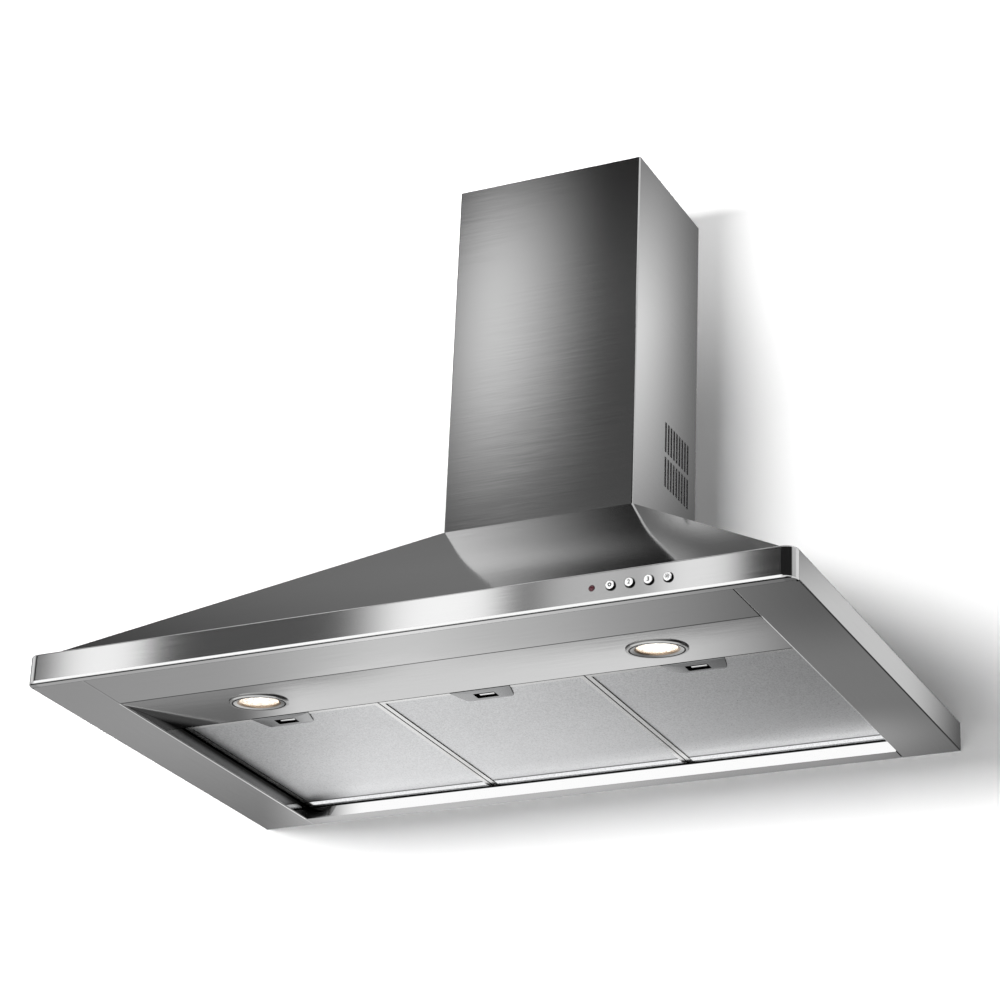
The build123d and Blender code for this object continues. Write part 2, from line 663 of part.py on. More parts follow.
def scroll_plan(inset, top):
    """The scroll's outline in Y and Z, opening upwards, set in from its outside."""
    rear, tongue = SCROLL_REAR - inset, SCROLL_TONGUE - inset
    bottom, front = SCROLL_BOTTOM - inset, SCROLL_FRONT - inset
    mouth = [(DUCT_Y - front, top), (DUCT_Y + rear, top)]
    outline = Curve() + Polyline(around(front, 180), *mouth, around(tongue, TONGUE_ANGLE))
    arcs = ((tongue, TONGUE_ANGLE, rear, 0), (rear, 0, bottom, -90), (bottom, -90, front, -180))
    for r0, a0, r1, a1 in arcs:
        outline += ThreePointArc(around(r0, a0), around((r0 + r1) / 2, (a0 + a1) / 2), around(r1, a1))
    return make_face(outline)


def flange_screw_places():
    ys = (DUCT_Y - FLANGE_SCREWS_Y / 2, DUCT_Y + FLANGE_SCREWS_Y / 2)
    return [(x, y) for x in (-FLANGE_SCREW_X, FLANGE_SCREW_X) for y in ys]


def flange_screw_holes():
    z0 = DECK_BOTTOM - 4 * FLANGE_THICK
    height = CANOPY_TOP + 4 * COLLAR_BASE - z0
    return [rod((x, y, z0), (0, 0, 1), height, SCREW_RADIUS + SCREW_GAP) for x, y in flange_screw_places()]


def blower_screws():
    z0 = DECK_BOTTOM - FLANGE_THICK
    length = FLANGE_THICK + DECK_SHEET + COLLAR_BASE + SCREW_HEAD
    return Compound([
        rod((x, y, z0 - SCREW_HEAD), (0, 0, 1), SCREW_HEAD, SCREW_HEAD_RADIUS)
        + rod((x, y, z0), (0, 0, 1), length, SCREW_RADIUS)
        for x, y in flange_screw_places()
    ])


def arm_screw_holes():
    radius = (INLET_RADIUS + ARM_REACH) / 2
    holes = []
    for degrees in ARM_ANGLES:
        y, z = around(radius, degrees)
        start = (-BLOWER_HALF - 2 * ARM_THICK, y, z)
        holes.append(rod(start, (1, 0, 0), 4 * ARM_THICK, SCREW_RADIUS + SCREW_GAP))
    return holes


def motor_screws():
    radius = (INLET_RADIUS + ARM_REACH) / 2
    screws = []
    for degrees in ARM_ANGLES:
        y, z = around(radius, degrees)
        outside = -BLOWER_HALF - ARM_THICK
        head = rod((outside - SCREW_HEAD, y, z), (1, 0, 0), SCREW_HEAD, SCREW_HEAD_RADIUS)
        length = ARM_THICK + SCROLL_WALL + SCREW_GAP
        screws.append(head + rod((outside, y, z), (1, 0, 0), length, SCREW_RADIUS))
    return Compound(screws)


def blower_housings():
    shell = run_x(scroll_plan(0, DECK_BOTTOM), 0, BLOWER_HALF)
    shell -= run_x(scroll_plan(SCROLL_WALL, DECK_BOTTOM + SHEET), 0, BLOWER_HALF - SCROLL_WALL)
    shell -= rod((0, DUCT_Y, BLOWER_Z), (1, 0, 0), BLOWER_WIDTH, INLET_RADIUS)
    y0 = DUCT_Y - FLANGE_LENGTH / 2
    shell += block(BLOWER_HALF, BLOWER_HALF + FLANGE_WIDTH, y0, y0 + FLANGE_LENGTH,
                   DECK_BOTTOM - FLANGE_THICK, DECK_BOTTOM)
    shell -= flange_screw_holes()
    left, right = both_sides(shell)
    return left - arm_screw_holes(), right


def motor():
    body = rod((-BLOWER_HALF, DUCT_Y, BLOWER_Z), (1, 0, 0), MOTOR_LENGTH, MOTOR_RADIUS)
    bore = (MOTOR_END - SHAFT_IN_MOTOR, DUCT_Y, BLOWER_Z)
    return body - rod(bore, (1, 0, 0), SHAFT_IN_MOTOR, SHAFT_RADIUS + SHAFT_GAP)


def motor_bracket():
    outside = -BLOWER_HALF - ARM_THICK
    bracket = rod((outside, DUCT_Y, BLOWER_Z), (1, 0, 0), ARM_THICK, MOTOR_RADIUS - ARM_HUB_INSET)
    arm = block(outside, -BLOWER_HALF, 0, ARM_REACH, -ARM_WIDTH / 2, ARM_WIDTH / 2)
    for degrees in ARM_ANGLES:
        bracket += Pos(0, DUCT_Y, BLOWER_Z) * (Rot(degrees, 0, 0) * arm)
    return bracket - arm_screw_holes()


def impeller():
    middle = (BLADE_INNER + IMPELLER_RADIUS) / 2
    length = (BLADE_DEPTH - 2 * BLADE_THICK) / math.cos(math.radians(BLADE_ANGLE))
    blades = Sketch()
    for i in range(BLADE_COUNT):
        blades += Rot(0, 0, 360 / BLADE_COUNT * i) * (Pos(middle, 0) * (Rot(0, 0, BLADE_ANGLE)
                                                                      * Rectangle(length, BLADE_THICK)))
    wheel = run_x(blades, -IMPELLER_HALF, IMPELLER_HALF)
    ring = Circle(IMPELLER_RADIUS) - Circle(BLADE_INNER)
    for x in (-IMPELLER_HALF, IMPELLER_HALF - RIM_RING):
        wheel += run_x(ring, x, x + RIM_RING)
    wheel += run_x(Circle(middle + BLADE_THICK), HUB_X, HUB_X + HUB_DISC)
    wheel += run_x(Circle(HUB_RADIUS), HUB_X, HUB_X + HUB_LENGTH)
    wheel -= run_x(Circle(SHAFT_RADIUS + HUB_FIT), -BLOWER_HALF, BLOWER_HALF)
    return Pos(0, DUCT_Y, BLOWER_Z) * wheel


def motor_shaft():
    x0 = MOTOR_END - SHAFT_IN_MOTOR + SHAFT_FOOT_GAP
    length = HUB_X + HUB_LENGTH + SHAFT_END - x0
    return rod((x0, DUCT_Y, BLOWER_Z), (1, 0, 0), length, SHAFT_RADIUS)


# Outlet collar and flaps
def collar_flange():
    edge_x = DECK_HALF - COLLAR_EDGE_X
    edge_y = CHIMNEY_DEPTH / 2 - COLLAR_EDGE_Y
    top = CANOPY_TOP + COLLAR_BASE
    plate = block(-edge_x, edge_x, DUCT_Y - edge_y, DUCT_Y + edge_y, CANOPY_TOP, top)
    plate -= rod((0, DUCT_Y, CANOPY_TOP - SHEET), (0, 0, 1), 4 * SHEET, COLLAR_BORE)
    return plate - flange_screw_holes()


def outlet_collar():
    foot = CANOPY_TOP + COLLAR_BASE
    collar = rod((0, DUCT_Y, foot), (0, 0, 1), COLLAR_LENGTH, DUCT_RADIUS)
    collar -= rod((0, DUCT_Y, foot - SHEET), (0, 0, 1), COLLAR_LENGTH + 2 * SHEET, COLLAR_BORE)
    ring = run_z(Circle(COLLAR_BORE + COLLAR_WALL / 2) - Circle(COLLAR_BORE - SEAT_RING),
                 SEAT_TOP - SEAT_RING_THICK, SEAT_TOP)
    collar += Pos(0, DUCT_Y, 0) * ring
    reach = math.sqrt(COLLAR_BORE ** 2 - (LUG_WIDTH / 2) ** 2)
    y0, y1 = DUCT_Y - LUG_WIDTH / 2, DUCT_Y + LUG_WIDTH / 2
    for x0, x1 in ((-reach, LUG - reach), (reach - LUG, reach)):
        collar += block(x0, x1, y0, y1, SEAT_TOP - SHEET, FLAP_Z + LUG_TOP)
    pin = rod((-reach, DUCT_Y, FLAP_Z), (1, 0, 0), 2 * reach, PIN_RADIUS + PIN_GAP)
    return collar - pin


def flap_pin():
    reach = math.sqrt(COLLAR_BORE ** 2 - (LUG_WIDTH / 2) ** 2) - PIN_GAP
    return rod((-reach, DUCT_Y, FLAP_Z), (1, 0, 0), 2 * reach, PIN_RADIUS)


def flap(spans):
    """The rear half of the flap pair, its axis on X, with hinge barrels on the given spans."""
    half_disc = Circle(FLAP_RADIUS) & (Pos(0, FLAP_RADIUS) * Rectangle(2 * FLAP_RADIUS, 2 * FLAP_RADIUS))
    start = BARREL_RADIUS + BARREL_GAP
    half_disc -= Pos(0, start / 2) * Rectangle(2 * FLAP_RADIUS, start)
    lug_room = LUG + LUG_GAP + COLLAR_BORE - FLAP_RADIUS
    for side in (-1, 1):
        x = side * (FLAP_RADIUS - lug_room / 2)
        half_disc -= Pos(x, 0) * Rectangle(lug_room, LUG_WIDTH + 4 * LUG_GAP)
    low = -FLAP_DROP - FLAP_THICK / 2
    plate = run_z(half_disc, low, low + FLAP_THICK)
    for x0, x1 in spans:
        plate += run_x(Circle(BARREL_RADIUS), x0, x1)
        plate += block(x0, x1, 0, start + FLAP_THICK, low, low + FLAP_THICK)
        plate -= run_x(Circle(PIN_RADIUS + PIN_GAP), x0 - SHEET, x1 + SHEET)
    return plate


def flaps():
    place = Pos(0, DUCT_Y, FLAP_Z)
    outer = [(-BARREL_OUTER, -BARREL_INNER), (BARREL_INNER, BARREL_OUTER)]
    inner = [(-BARREL_INNER + BARREL_GAP, BARREL_INNER - BARREL_GAP)]
    return place * mirror(flap(outer), about=Plane.XZ), place * flap(inner)


# Electrics
def control_box():
    x0, x1 = CONTROL_BOX_X, CONTROL_BOX_X + CONTROL_BOX_WIDTH
    z0, z1 = CONTROL_BOX_Z, CONTROL_BOX_Z + CONTROL_BOX_HEIGHT
    y0, wall = BACK - CONTROL_BOX_DEPTH, CONTROL_BOX_WALL
    box = block(x0, x1, y0, BACK, z0, z1)
    box -= block(x0 + wall, x1 - wall, y0 - wall, BACK - wall, z0 + wall, z1 - wall)
    for x in (x0 + 3 * wall + BOARD_GAP, x1 - 3 * wall - BOARD_GAP):
        for z in (z0 + 3 * wall + BOARD_GAP, z1 - 3 * wall - BOARD_GAP):
            box += rod((x, BACK - wall - BOARD_POST, z), (0, 1, 0), BOARD_POST, wall)
    return box


def control_board():
    inset = CONTROL_BOX_WALL + BOARD_GAP
    y1 = BACK - CONTROL_BOX_WALL - BOARD_POST
    return block(CONTROL_BOX_X + inset, CONTROL_BOX_X + CONTROL_BOX_WIDTH - inset, y1 - BOARD_THICK, y1,
                 CONTROL_BOX_Z + inset, CONTROL_BOX_Z + CONTROL_BOX_HEIGHT - inset)


def control_box_lid():
    y1 = BACK - CONTROL_BOX_DEPTH
    return block(CONTROL_BOX_X, CONTROL_BOX_X + CONTROL_BOX_WIDTH, y1 - CONTROL_BOX_WALL, y1,
                 CONTROL_BOX_Z, CONTROL_BOX_Z + CONTROL_BOX_HEIGHT)


def capacitor():
    z = CONTROL_BOX_Z + CONTROL_BOX_HEIGHT + CAPACITOR_GAP + CAPACITOR_RADIUS
    y = BACK - CAPACITOR_RADIUS
    middle = CONTROL_BOX_X + CAPACITOR_LENGTH / 2
    can = rod((CONTROL_BOX_X, y, z), (1, 0, 0), CAPACITOR_LENGTH, CAPACITOR_RADIUS)
    half = CAPACITOR_FOOT / 2
    return can + block(middle - half, middle + half, y, BACK, z - half, z + half)


def cable_gland():
    x, y = GLAND_X, -GLAND_FROM_WALL
    up = (0, 0, 1)
    bottom = DECK_BOTTOM - GLAND_NUT
    gland = rod((x, y, bottom), up, GLAND_NUT + DECK_SHEET + GLAND_TOP, GLAND_RADIUS)
    gland += rod((x, y, CANOPY_TOP), up, GLAND_FLANGE_THICK, GLAND_FLANGE)
    gland += rod((x, y, bottom), up, GLAND_NUT, GLAND_FLANGE)
    return gland - rod((x, y, bottom - SHEET), up, GLAND_NUT + GLAND_TOP + 4 * SHEET, GLAND_BORE)


def all_nodes():
    """Every piece at its place, by name."""
    nodes = {"fascia": fascia()}
    nodes["left_side_panel"], nodes["right_side_panel"] = side_panels()
    nodes["lamp_panel"] = lamp_panel()
    nodes["rear_strip"] = rear_strip()
    nodes["back_panel"] = back_panel()
    canopy_names = ("canopy_front_panel", "canopy_left_panel", "canopy_right_panel")
    nodes.update(zip(canopy_names, canopy_panels()))
    nodes["canopy_deck"] = canopy_deck()
    nodes["chimney_clips"] = chimney_clips()
    nodes["chimney_cover"] = chimney_cover()
    nodes["chimney_wall_bracket"] = wall_bracket(CHIMNEY_HALF - SHEET, BRACKET_EAR, COVER_BRACKET_TOP)
    nodes["chimney_extension"] = chimney_extension()
    nodes["extension_bracket"] = wall_bracket(EXTENSION_HALF - SHEET, EXTENSION_EAR, EXTENSION_BRACKET_TOP)
    for side, place in zip(("left", "right"), lamp_places()):
        for name, piece in lamp_pieces().items():
            nodes[f"{side}_lamp_{name}"] = place * piece
    nodes["switch_block"] = switch_block()
    nodes["indicator_lens"] = indicator_lens()
    for i, x in enumerate(BUTTON_X):
        nodes[f"button_{i + 1}"] = on_fascia(x) * button()
    pitch = FILTER_WIDTH + FILTER_GAP
    for side, i in (("left", -1), ("middle", 0), ("right", 1)):
        place = Pos(i * pitch, 0, 0)
        nodes[f"{side}_filter_frame"] = place * filter_frame()
        nodes[f"{side}_filter_mesh"] = place * filter_mesh()
        nodes[f"{side}_filter_handle"] = place * filter_handle()
        nodes[f"{side}_filter_latch"] = place * filter_latch()
    nodes["blower_housing_left"], nodes["blower_housing_right"] = blower_housings()
    nodes["blower_screws"] = blower_screws()
    nodes["motor"] = motor()
    nodes["motor_bracket"] = motor_bracket()
    nodes["motor_screws"] = motor_screws()
    nodes["motor_shaft"] = motor_shaft()
    nodes["impeller"] = impeller()
    nodes["collar_flange"] = collar_flange()
    nodes["outlet_collar"] = outlet_collar()
    nodes["flap_pin"] = flap_pin()
    nodes["front_flap"], nodes["rear_flap"] = flaps()
    nodes["control_box"] = control_box()
    nodes["control_board"] = control_board()
    nodes["control_box_lid"] = control_box_lid()
    nodes["capacitor"] = capacitor()
    nodes["cable_gland"] = cable_gland()
    return nodes


os.makedirs("parts", exist_ok=True)
for name, piece in all_nodes().items():
    export_step(piece, f"parts/{name}.step")
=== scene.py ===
import logging
import math
from dataclasses import dataclass, field
from enum import Enum
from typing import Any, Mapping, Sequence

import bmesh
import bpy
from mathutils import Matrix, Vector


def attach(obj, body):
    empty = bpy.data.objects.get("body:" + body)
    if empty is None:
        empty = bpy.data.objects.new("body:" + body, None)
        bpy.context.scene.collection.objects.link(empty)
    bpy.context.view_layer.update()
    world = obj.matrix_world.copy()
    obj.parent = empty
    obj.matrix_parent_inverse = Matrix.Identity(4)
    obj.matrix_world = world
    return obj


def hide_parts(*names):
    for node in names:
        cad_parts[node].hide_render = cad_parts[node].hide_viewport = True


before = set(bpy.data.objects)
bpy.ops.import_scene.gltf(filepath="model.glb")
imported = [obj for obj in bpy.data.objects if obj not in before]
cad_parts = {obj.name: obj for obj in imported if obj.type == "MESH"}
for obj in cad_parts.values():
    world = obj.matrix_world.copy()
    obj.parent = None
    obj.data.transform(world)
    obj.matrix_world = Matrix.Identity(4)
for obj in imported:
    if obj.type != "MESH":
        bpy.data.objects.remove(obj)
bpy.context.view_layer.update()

Pair = tuple[float, float]
Triple = tuple[float, float, float]
Sockets = Mapping[str | int, Any]
FULL_WHITE: Triple = (1.0, 1.0, 1.0)
NO_LIGHT: Triple = (0.0, 0.0, 0.0)
RIGHT: Triple = (1.0, 0.0, 0.0)
LEFT: Triple = (-1.0, 0.0, 0.0)
FRONT: Triple = (0.0, -1.0, 0.0)
UP: Triple = (0.0, 0.0, 1.0)
DOWN: Triple = (0.0, 0.0, -1.0)
# Vertices nearer than this are one, in metres
MERGE = 1e-6
# Faces that meet at less than this are shaded smooth, in degrees
SMOOTH_BELOW = 40.0
# Points on a rounded corner
ARC_POINTS = 5
# How squarely a face looks a way when it starts to count, and when it fully does
FACING: Pair = (0.4, 0.7)
log = logging.getLogger("range_hood")


# Shader graphs
class Wire:
    """A node's output that takes part in Python expressions."""

    def __init__(self, graph: "Graph", socket: bpy.types.NodeSocket | None) -> None:
        """Keep the output and the graph that it belongs to."""
        self.graph = graph
        self.socket = socket

    def __add__(self, other: Any) -> "Wire":
        """Sum."""
        return self.graph.combine("ADD", self, other)

    def __radd__(self, other: Any) -> "Wire":
        """Sum with the wire on the right."""
        return self.graph.combine("ADD", other, self)

    def __sub__(self, other: Any) -> "Wire":
        """Difference."""
        return self.graph.combine("SUBTRACT", self, other)

    def __rsub__(self, other: Any) -> "Wire":
        """Difference with the wire on the right."""
        return self.graph.combine("SUBTRACT", other, self)

    def __mul__(self, other: Any) -> "Wire":
        """Product."""
        return self.graph.combine("MULTIPLY", self, other)

    def __rmul__(self, other: Any) -> "Wire":
        """Product with the wire on the right."""
        return self.graph.combine("MULTIPLY", other, self)

    def step(self, low: float, high: float) -> "Wire":
        """A smooth rise from 0 to 1 between two values."""
        sockets = {"Value": self, "From Min": low, "From Max": high}
        return self.graph.node("ShaderNodeMapRange", {"interpolation_type": "SMOOTHSTEP"}, sockets)

    def window(self, low: float, high: float, rise: float, fall: float) -> "Wire":
        """1 between two values and 0 outside, with a soft rise and fall, each given by half its width."""
        return self.step(low - rise, low + rise) * (1 - self.step(high - fall, high + fall))


class Graph:
    """The node tree of one material or world."""

    def __init__(self, tree: bpy.types.NodeTree) -> None:
        """Start from an empty tree."""
        self.tree = tree
        tree.nodes.clear()

    def node(
        self,
        kind: str,
        settings: Mapping[str, Any] | None = None,
        sockets: Sockets | None = None,
        out: str | int = 0,
    ) -> Wire:
        """Add a node.

        Args:
            kind: the node's type.
            settings: its options, set first.
            sockets: values or wires for its inputs, by name or number.
            out: the output that is wanted.

        Returns:
            That output.
        """
        made = self.tree.nodes.new(kind)
        for name, value in (settings or {}).items():
            setattr(made, name, value)
        for key, value in (sockets or {}).items():
            socket = made.inputs[key]
            if isinstance(value, Wire):
                self.tree.links.new(value.socket, socket)
            elif socket.type == "RGBA" and len(value) == 3:
                socket.default_value = (*value, 1.0)
            else:
                socket.default_value = value
        return Wire(self, made.outputs[out] if made.outputs else None)

    def combine(self, operation: str, a: Any, b: Any) -> Wire:
        """Join two operands by value, vector or colour, whichever they are.

        Args:
            operation: the name of the operation.
            a: a wire or a number, or three numbers.
            b: a wire or a number, or three numbers.

        Returns:
            The result.
        """
        kinds = {v.socket.type for v in (a, b) if isinstance(v, Wire)}
        if not kinds & {"RGBA", "VECTOR"}:
            return self.node("ShaderNodeMath", {"operation": operation}, {0: a, 1: b})
        a, b = ((v, v, v) if isinstance(v, (int, float)) else v for v in (a, b))
        if "RGBA" in kinds:
            return self.between(a, b, 1.0, operation)
        return self.node("ShaderNodeVectorMath", {"operation": operation}, {0: a, 1: b})

    def place(self) -> Wire:
        """The point on the piece, in metres."""
        return self.node("ShaderNodeTexCoord", out="Object")

    def axis(self, name: str) -> Wire:
        """One coordinate of the point on the piece."""
        return self.node("ShaderNodeSeparateXYZ", None, {0: self.place()}, name)

    def facing(self) -> Wire:
        """The surface's own normal."""
        return self.node("ShaderNodeNewGeometry", out="Normal")

    def toward(self, way: Triple) -> Wire:
        """How far the surface faces a way, from -1 to 1."""
        sockets = {0: self.facing(), 1: way}
        return self.node("ShaderNodeVectorMath", {"operation": "DOT_PRODUCT"}, sockets, "Value")

    def magnitude(self, value: Wire) -> Wire:
        """A value without its sign."""
        return self.node("ShaderNodeMath", {"operation": "ABSOLUTE"}, {0: value})

    def wave(self, angle: Wire) -> Wire:
        """A wave from -1 to 1."""
        return self.node("ShaderNodeMath", {"operation": "SINE"}, {0: angle})

    def noise(self, vector: Wire, detail: float = 2.0, roughness: float = 0.5) -> Wire:
        """Cloudy noise from 0 to 1 at a scaled point, by the number and the strength of its finer layers."""
        sockets = {"Vector": vector, "Scale": 1.0, "Detail": detail, "Roughness": roughness}
        return self.node("ShaderNodeTexNoise", None, sockets)

    def cells(self, vector: Wire, feature: str = "F1", out: str = "Distance") -> Wire:
        """Voronoi cells at a scaled point."""
        return self.node("ShaderNodeTexVoronoi", {"feature": feature}, {"Vector": vector, "Scale": 1.0}, out)

    def between(self, a: Any, b: Any, share: Any, blend: str = "MIX") -> Wire:
        """The first colour at share 0, and at 1 the second one or a blend of both."""
        settings = {"data_type": "RGBA", "blend_type": blend}
        return self.node("ShaderNodeMix", settings, {0: share, 6: a, 7: b}, 2)

    def tinted(self, colour: Triple, tone: Wire) -> Wire:
        """A colour made lighter and darker by a value."""
        return self.between(colour, tone, 1.0, "MULTIPLY")

    def bump(self, height: Wire, depth: float) -> Wire:
        """A normal from a height of about 0 to 1, where 1 is a depth in metres."""
        return self.node("ShaderNodeBump", None, {"Height": height, "Distance": depth}, "Normal")

    def tipped(self, normal: Wire, way: Triple, amount: Wire) -> Wire:
        """A normal, tipped one way by a value.

        Args:
            normal: the normal.
            way: the way it tips.
            amount: how far.

        Returns:
            The tipped normal, of length 1.
        """
        parts = {i: amount * way[i] for i in range(3) if way[i]}
        tip = self.node("ShaderNodeCombineXYZ", None, parts)
        return self.node("ShaderNodeVectorMath", {"operation": "NORMALIZE"}, {0: normal + tip})

    def direct(self) -> Wire:
        """1 until a path of light has left a matt surface, and 0 after that."""
        return 1 - self.combine("MINIMUM", self.node("ShaderNodeLightPath", out="Diffuse Depth"), 1.0)

    def seen(self) -> Wire:
        """1 for what the eye, a mirror or a glass looks at, and 0 for light that falls on things.

        Returns:
            The mask.
        """
        names = (f"Is {kind} Ray" for kind in ("Camera", "Glossy", "Transmission"))
        camera, glossy, clear = (self.node("ShaderNodeLightPath", out=name) for name in names)
        return self.combine("MAXIMUM", camera, self.combine("MAXIMUM", glossy, clear)) * self.direct()

    def surface(self, sockets: Sockets) -> None:
        """The main shader, joined to the output."""
        shader = self.node("ShaderNodeBsdfPrincipled", None, sockets)
        self.node("ShaderNodeOutputMaterial", None, {"Surface": shader})

    def one_sided(self, sockets: Sockets) -> None:
        """A main shader that can't be seen from behind, joined to the output.

        Args:
            sockets: values or wires for its inputs.
        """
        shader = self.node("ShaderNodeBsdfPrincipled", None, sockets)
        behind = self.node("ShaderNodeNewGeometry", out="Backfacing")
        clear = self.node("ShaderNodeBsdfTransparent")
        mixed = self.node("ShaderNodeMixShader", None, {0: behind, 1: shader, 2: clear})
        self.node("ShaderNodeOutputMaterial", None, {"Surface": mixed})


# Finishes
class Grain(Enum):
    """Which way a sheet is brushed: how fine its lines are along X, Y and Z, and the way that they lean."""

    ALONG_X = ((18.0, 3400.0, 3400.0), (0.0, 1.0, 1.0))
    ALONG_Y = ((3400.0, 18.0, 3400.0), (1.0, 0.0, 1.0))
    LEVEL = ((18.0, 18.0, 3400.0), (0.0, 0.0, 1.0))

    @property
    def fineness(self) -> Triple:
        """How fine the lines are along each axis, per metre."""
        return self.value[0]

    @property
    def lean(self) -> Triple:
        """The way across the lines."""
        return self.value[1]


@dataclass(frozen=True)
class Finish:
    """What a surface is made of."""

    name: str

    def paint(self, graph: Graph) -> None:
        """Draw the finish into an empty graph."""
        raise NotImplementedError

    def material(self) -> bpy.types.Material:
        """The finish as a material, made once.

        Returns:
            The material.
        """
        title = f"{self.name}_finish"
        found = bpy.data.materials.get(title)
        if found is None:
            found = bpy.data.materials.new(title)
            found.use_nodes = True
            self.paint(Graph(found.node_tree))
        return found

    def dress(self, piece: bpy.types.Object) -> None:
        """Give a piece this finish.

        Args:
            piece: the piece, packed or new.
        """
        if not piece.material_slots:
            piece.data.materials.append(None)
        for slot in piece.material_slots:
            slot.material = self.material()


@dataclass(frozen=True)
class Shade:
    """A part of a sheet with a painted shade or a painted highlight as its tone, or a tipped normal, found by
    where it is and which way it faces.

    A span is the part's low end, its high end and the softness of both.
    """

    # The grey of the part: painted shade when dark, a painted highlight when light; None keeps the colour
    tone: float | None = None
    x: Triple | None = None
    y: Triple | None = None
    z: Triple | None = None
    faces: Triple | None = None
    tip: Triple | None = None

    def share(self, graph: Graph) -> Wire:
        """How far a point belongs to the part.

        Args:
            graph: the graph of the finish.

        Returns:
            0 outside the part and 1 inside it.
        """
        share: Any = 1.0
        for name, span in (("X", self.x), ("Y", self.y), ("Z", self.z)):
            if span:
                low, high, soft = span
                share = graph.axis(name).window(low, high, soft, soft) * share
        if self.faces:
            share = graph.toward(self.faces).step(*FACING) * share
        return share


@dataclass(frozen=True)
class BrushedSteel(Finish):
    """Stainless sheet with hairlines, slightly uneven from panel to panel."""

    grain: Grain
    shades: tuple[Shade, ...] = ()
    colour: Triple = (0.63, 0.63, 0.63)
    plain_tone: float = 0.86
    hair_tone: float = 0.2
    streak_tone: float = 0.04
    cloud_tone: float = 0.05
    gloss: float = 0.049
    hair_rough: float = 0.02
    streak_rough: float = 0.012
    cloud_rough: float = 0.02
    lean: float = 0.03
    streak_scale: Pair = (4.0, 0.09)
    cloud_scale: float = 6.0

    def paint(self, graph: Graph) -> None:
        """Hairlines in colour, roughness and normal, over broad soft streaks, with the painted shade and painted
        highlights of the sheet's shades.

        Args:
            graph: the finish's empty graph.
        """
        place = graph.place()
        hair = graph.noise(place * self.grain.fineness, 2.0, 0.65)
        least, rate = self.streak_scale
        streak = graph.noise(place * tuple(least + rate * f for f in self.grain.fineness), 3.0, 0.6)
        cloud = graph.noise(place * self.cloud_scale)
        tone = self.plain_tone + hair * self.hair_tone + streak * self.streak_tone + cloud * self.cloud_tone
        colour = graph.tinted(self.colour, tone)
        rough = self.gloss + streak * self.streak_rough + hair * self.hair_rough + cloud * self.cloud_rough
        normal = graph.tipped(graph.facing(), self.grain.lean, (hair - 0.5) * self.lean)
        for shade in self.shades:
            share = shade.share(graph)
            # A shade's tone puts painted shade or a painted highlight in place of the steel's colour
            if shade.tone is not None:
                colour = graph.between(colour, (shade.tone,) * 3, share)
            if shade.tip:
                normal = graph.tipped(normal, shade.tip, share)
        graph.surface({"Base Color": colour, "Metallic": 1.0, "Roughness": rough, "Normal": normal})


@dataclass(frozen=True)
class ZincSheet(Finish):
    """Plain zinc-coated sheet with its crystal spangle."""

    colour: Triple = (0.5, 0.51, 0.52)
    crystals: float = 90.0
    wander: float = 1.5
    wander_scale: float = 60.0
    dust_scale: float = 400.0

    def paint(self, graph: Graph) -> None:
        """Crystals a centimetre across, each with its own shade and gloss.

        Args:
            graph: the finish's empty graph.
        """
        wander = graph.noise(graph.place() * self.wander_scale) * self.wander
        place = graph.place() * self.crystals + wander
        crystal = graph.node("ShaderNodeSeparateColor", None, {0: graph.cells(place, out="Color")}, 0)
        dust = graph.noise(graph.place() * self.dust_scale, 3.0)
        graph.surface({
            "Base Color": graph.tinted(self.colour, 0.78 + crystal * 0.26 + dust * 0.16),
            "Metallic": 0.6,
            "Roughness": 0.44 + crystal * 0.14 + dust * 0.08,
            "Normal": graph.bump(crystal + dust, 0.00004),
        })


@dataclass(frozen=True)
class SatinMetal(Finish):
    """Cast, pressed or turned metal with a fine even grain."""

    colour: Triple
    gloss: float = 0.3
    grit: float = 900.0
    depth: float = 0.00002
    metal: float = 1.0
    face: Triple | None = None
    turn: Pair = (0.4, 0.75)
    # Painted shade: the colour of the walls that don't face the face's way
    wall: Triple = (0.02, 0.02, 0.02)
    patch_scale: float = 45.0

    def paint(self, graph: Graph) -> None:
        """Fine grit in the normal, soft patches in colour and gloss, and painted shade on the walls round a face
        that keeps the colour.

        Args:
            graph: the finish's empty graph.
        """
        grit = graph.noise(graph.place() * self.grit, 3.0, 0.6)
        patch = graph.noise(graph.place() * self.patch_scale, 3.0)
        colour = graph.tinted(self.colour, 0.88 + patch * 0.14 + grit * 0.1)
        metal: Any = self.metal
        # Walls turned away from the face's way take painted shade
        if self.face:
            share = graph.magnitude(graph.toward(self.face)).step(*self.turn)
            colour = graph.between(self.wall, colour, share)
            metal = 1 - share * (1 - self.metal)
        graph.surface({
            "Base Color": colour,
            "Metallic": metal,
            "Roughness": self.gloss + patch * 0.08 + grit * 0.06 - 0.07,
            "Normal": graph.bump(grit, self.depth),
        })


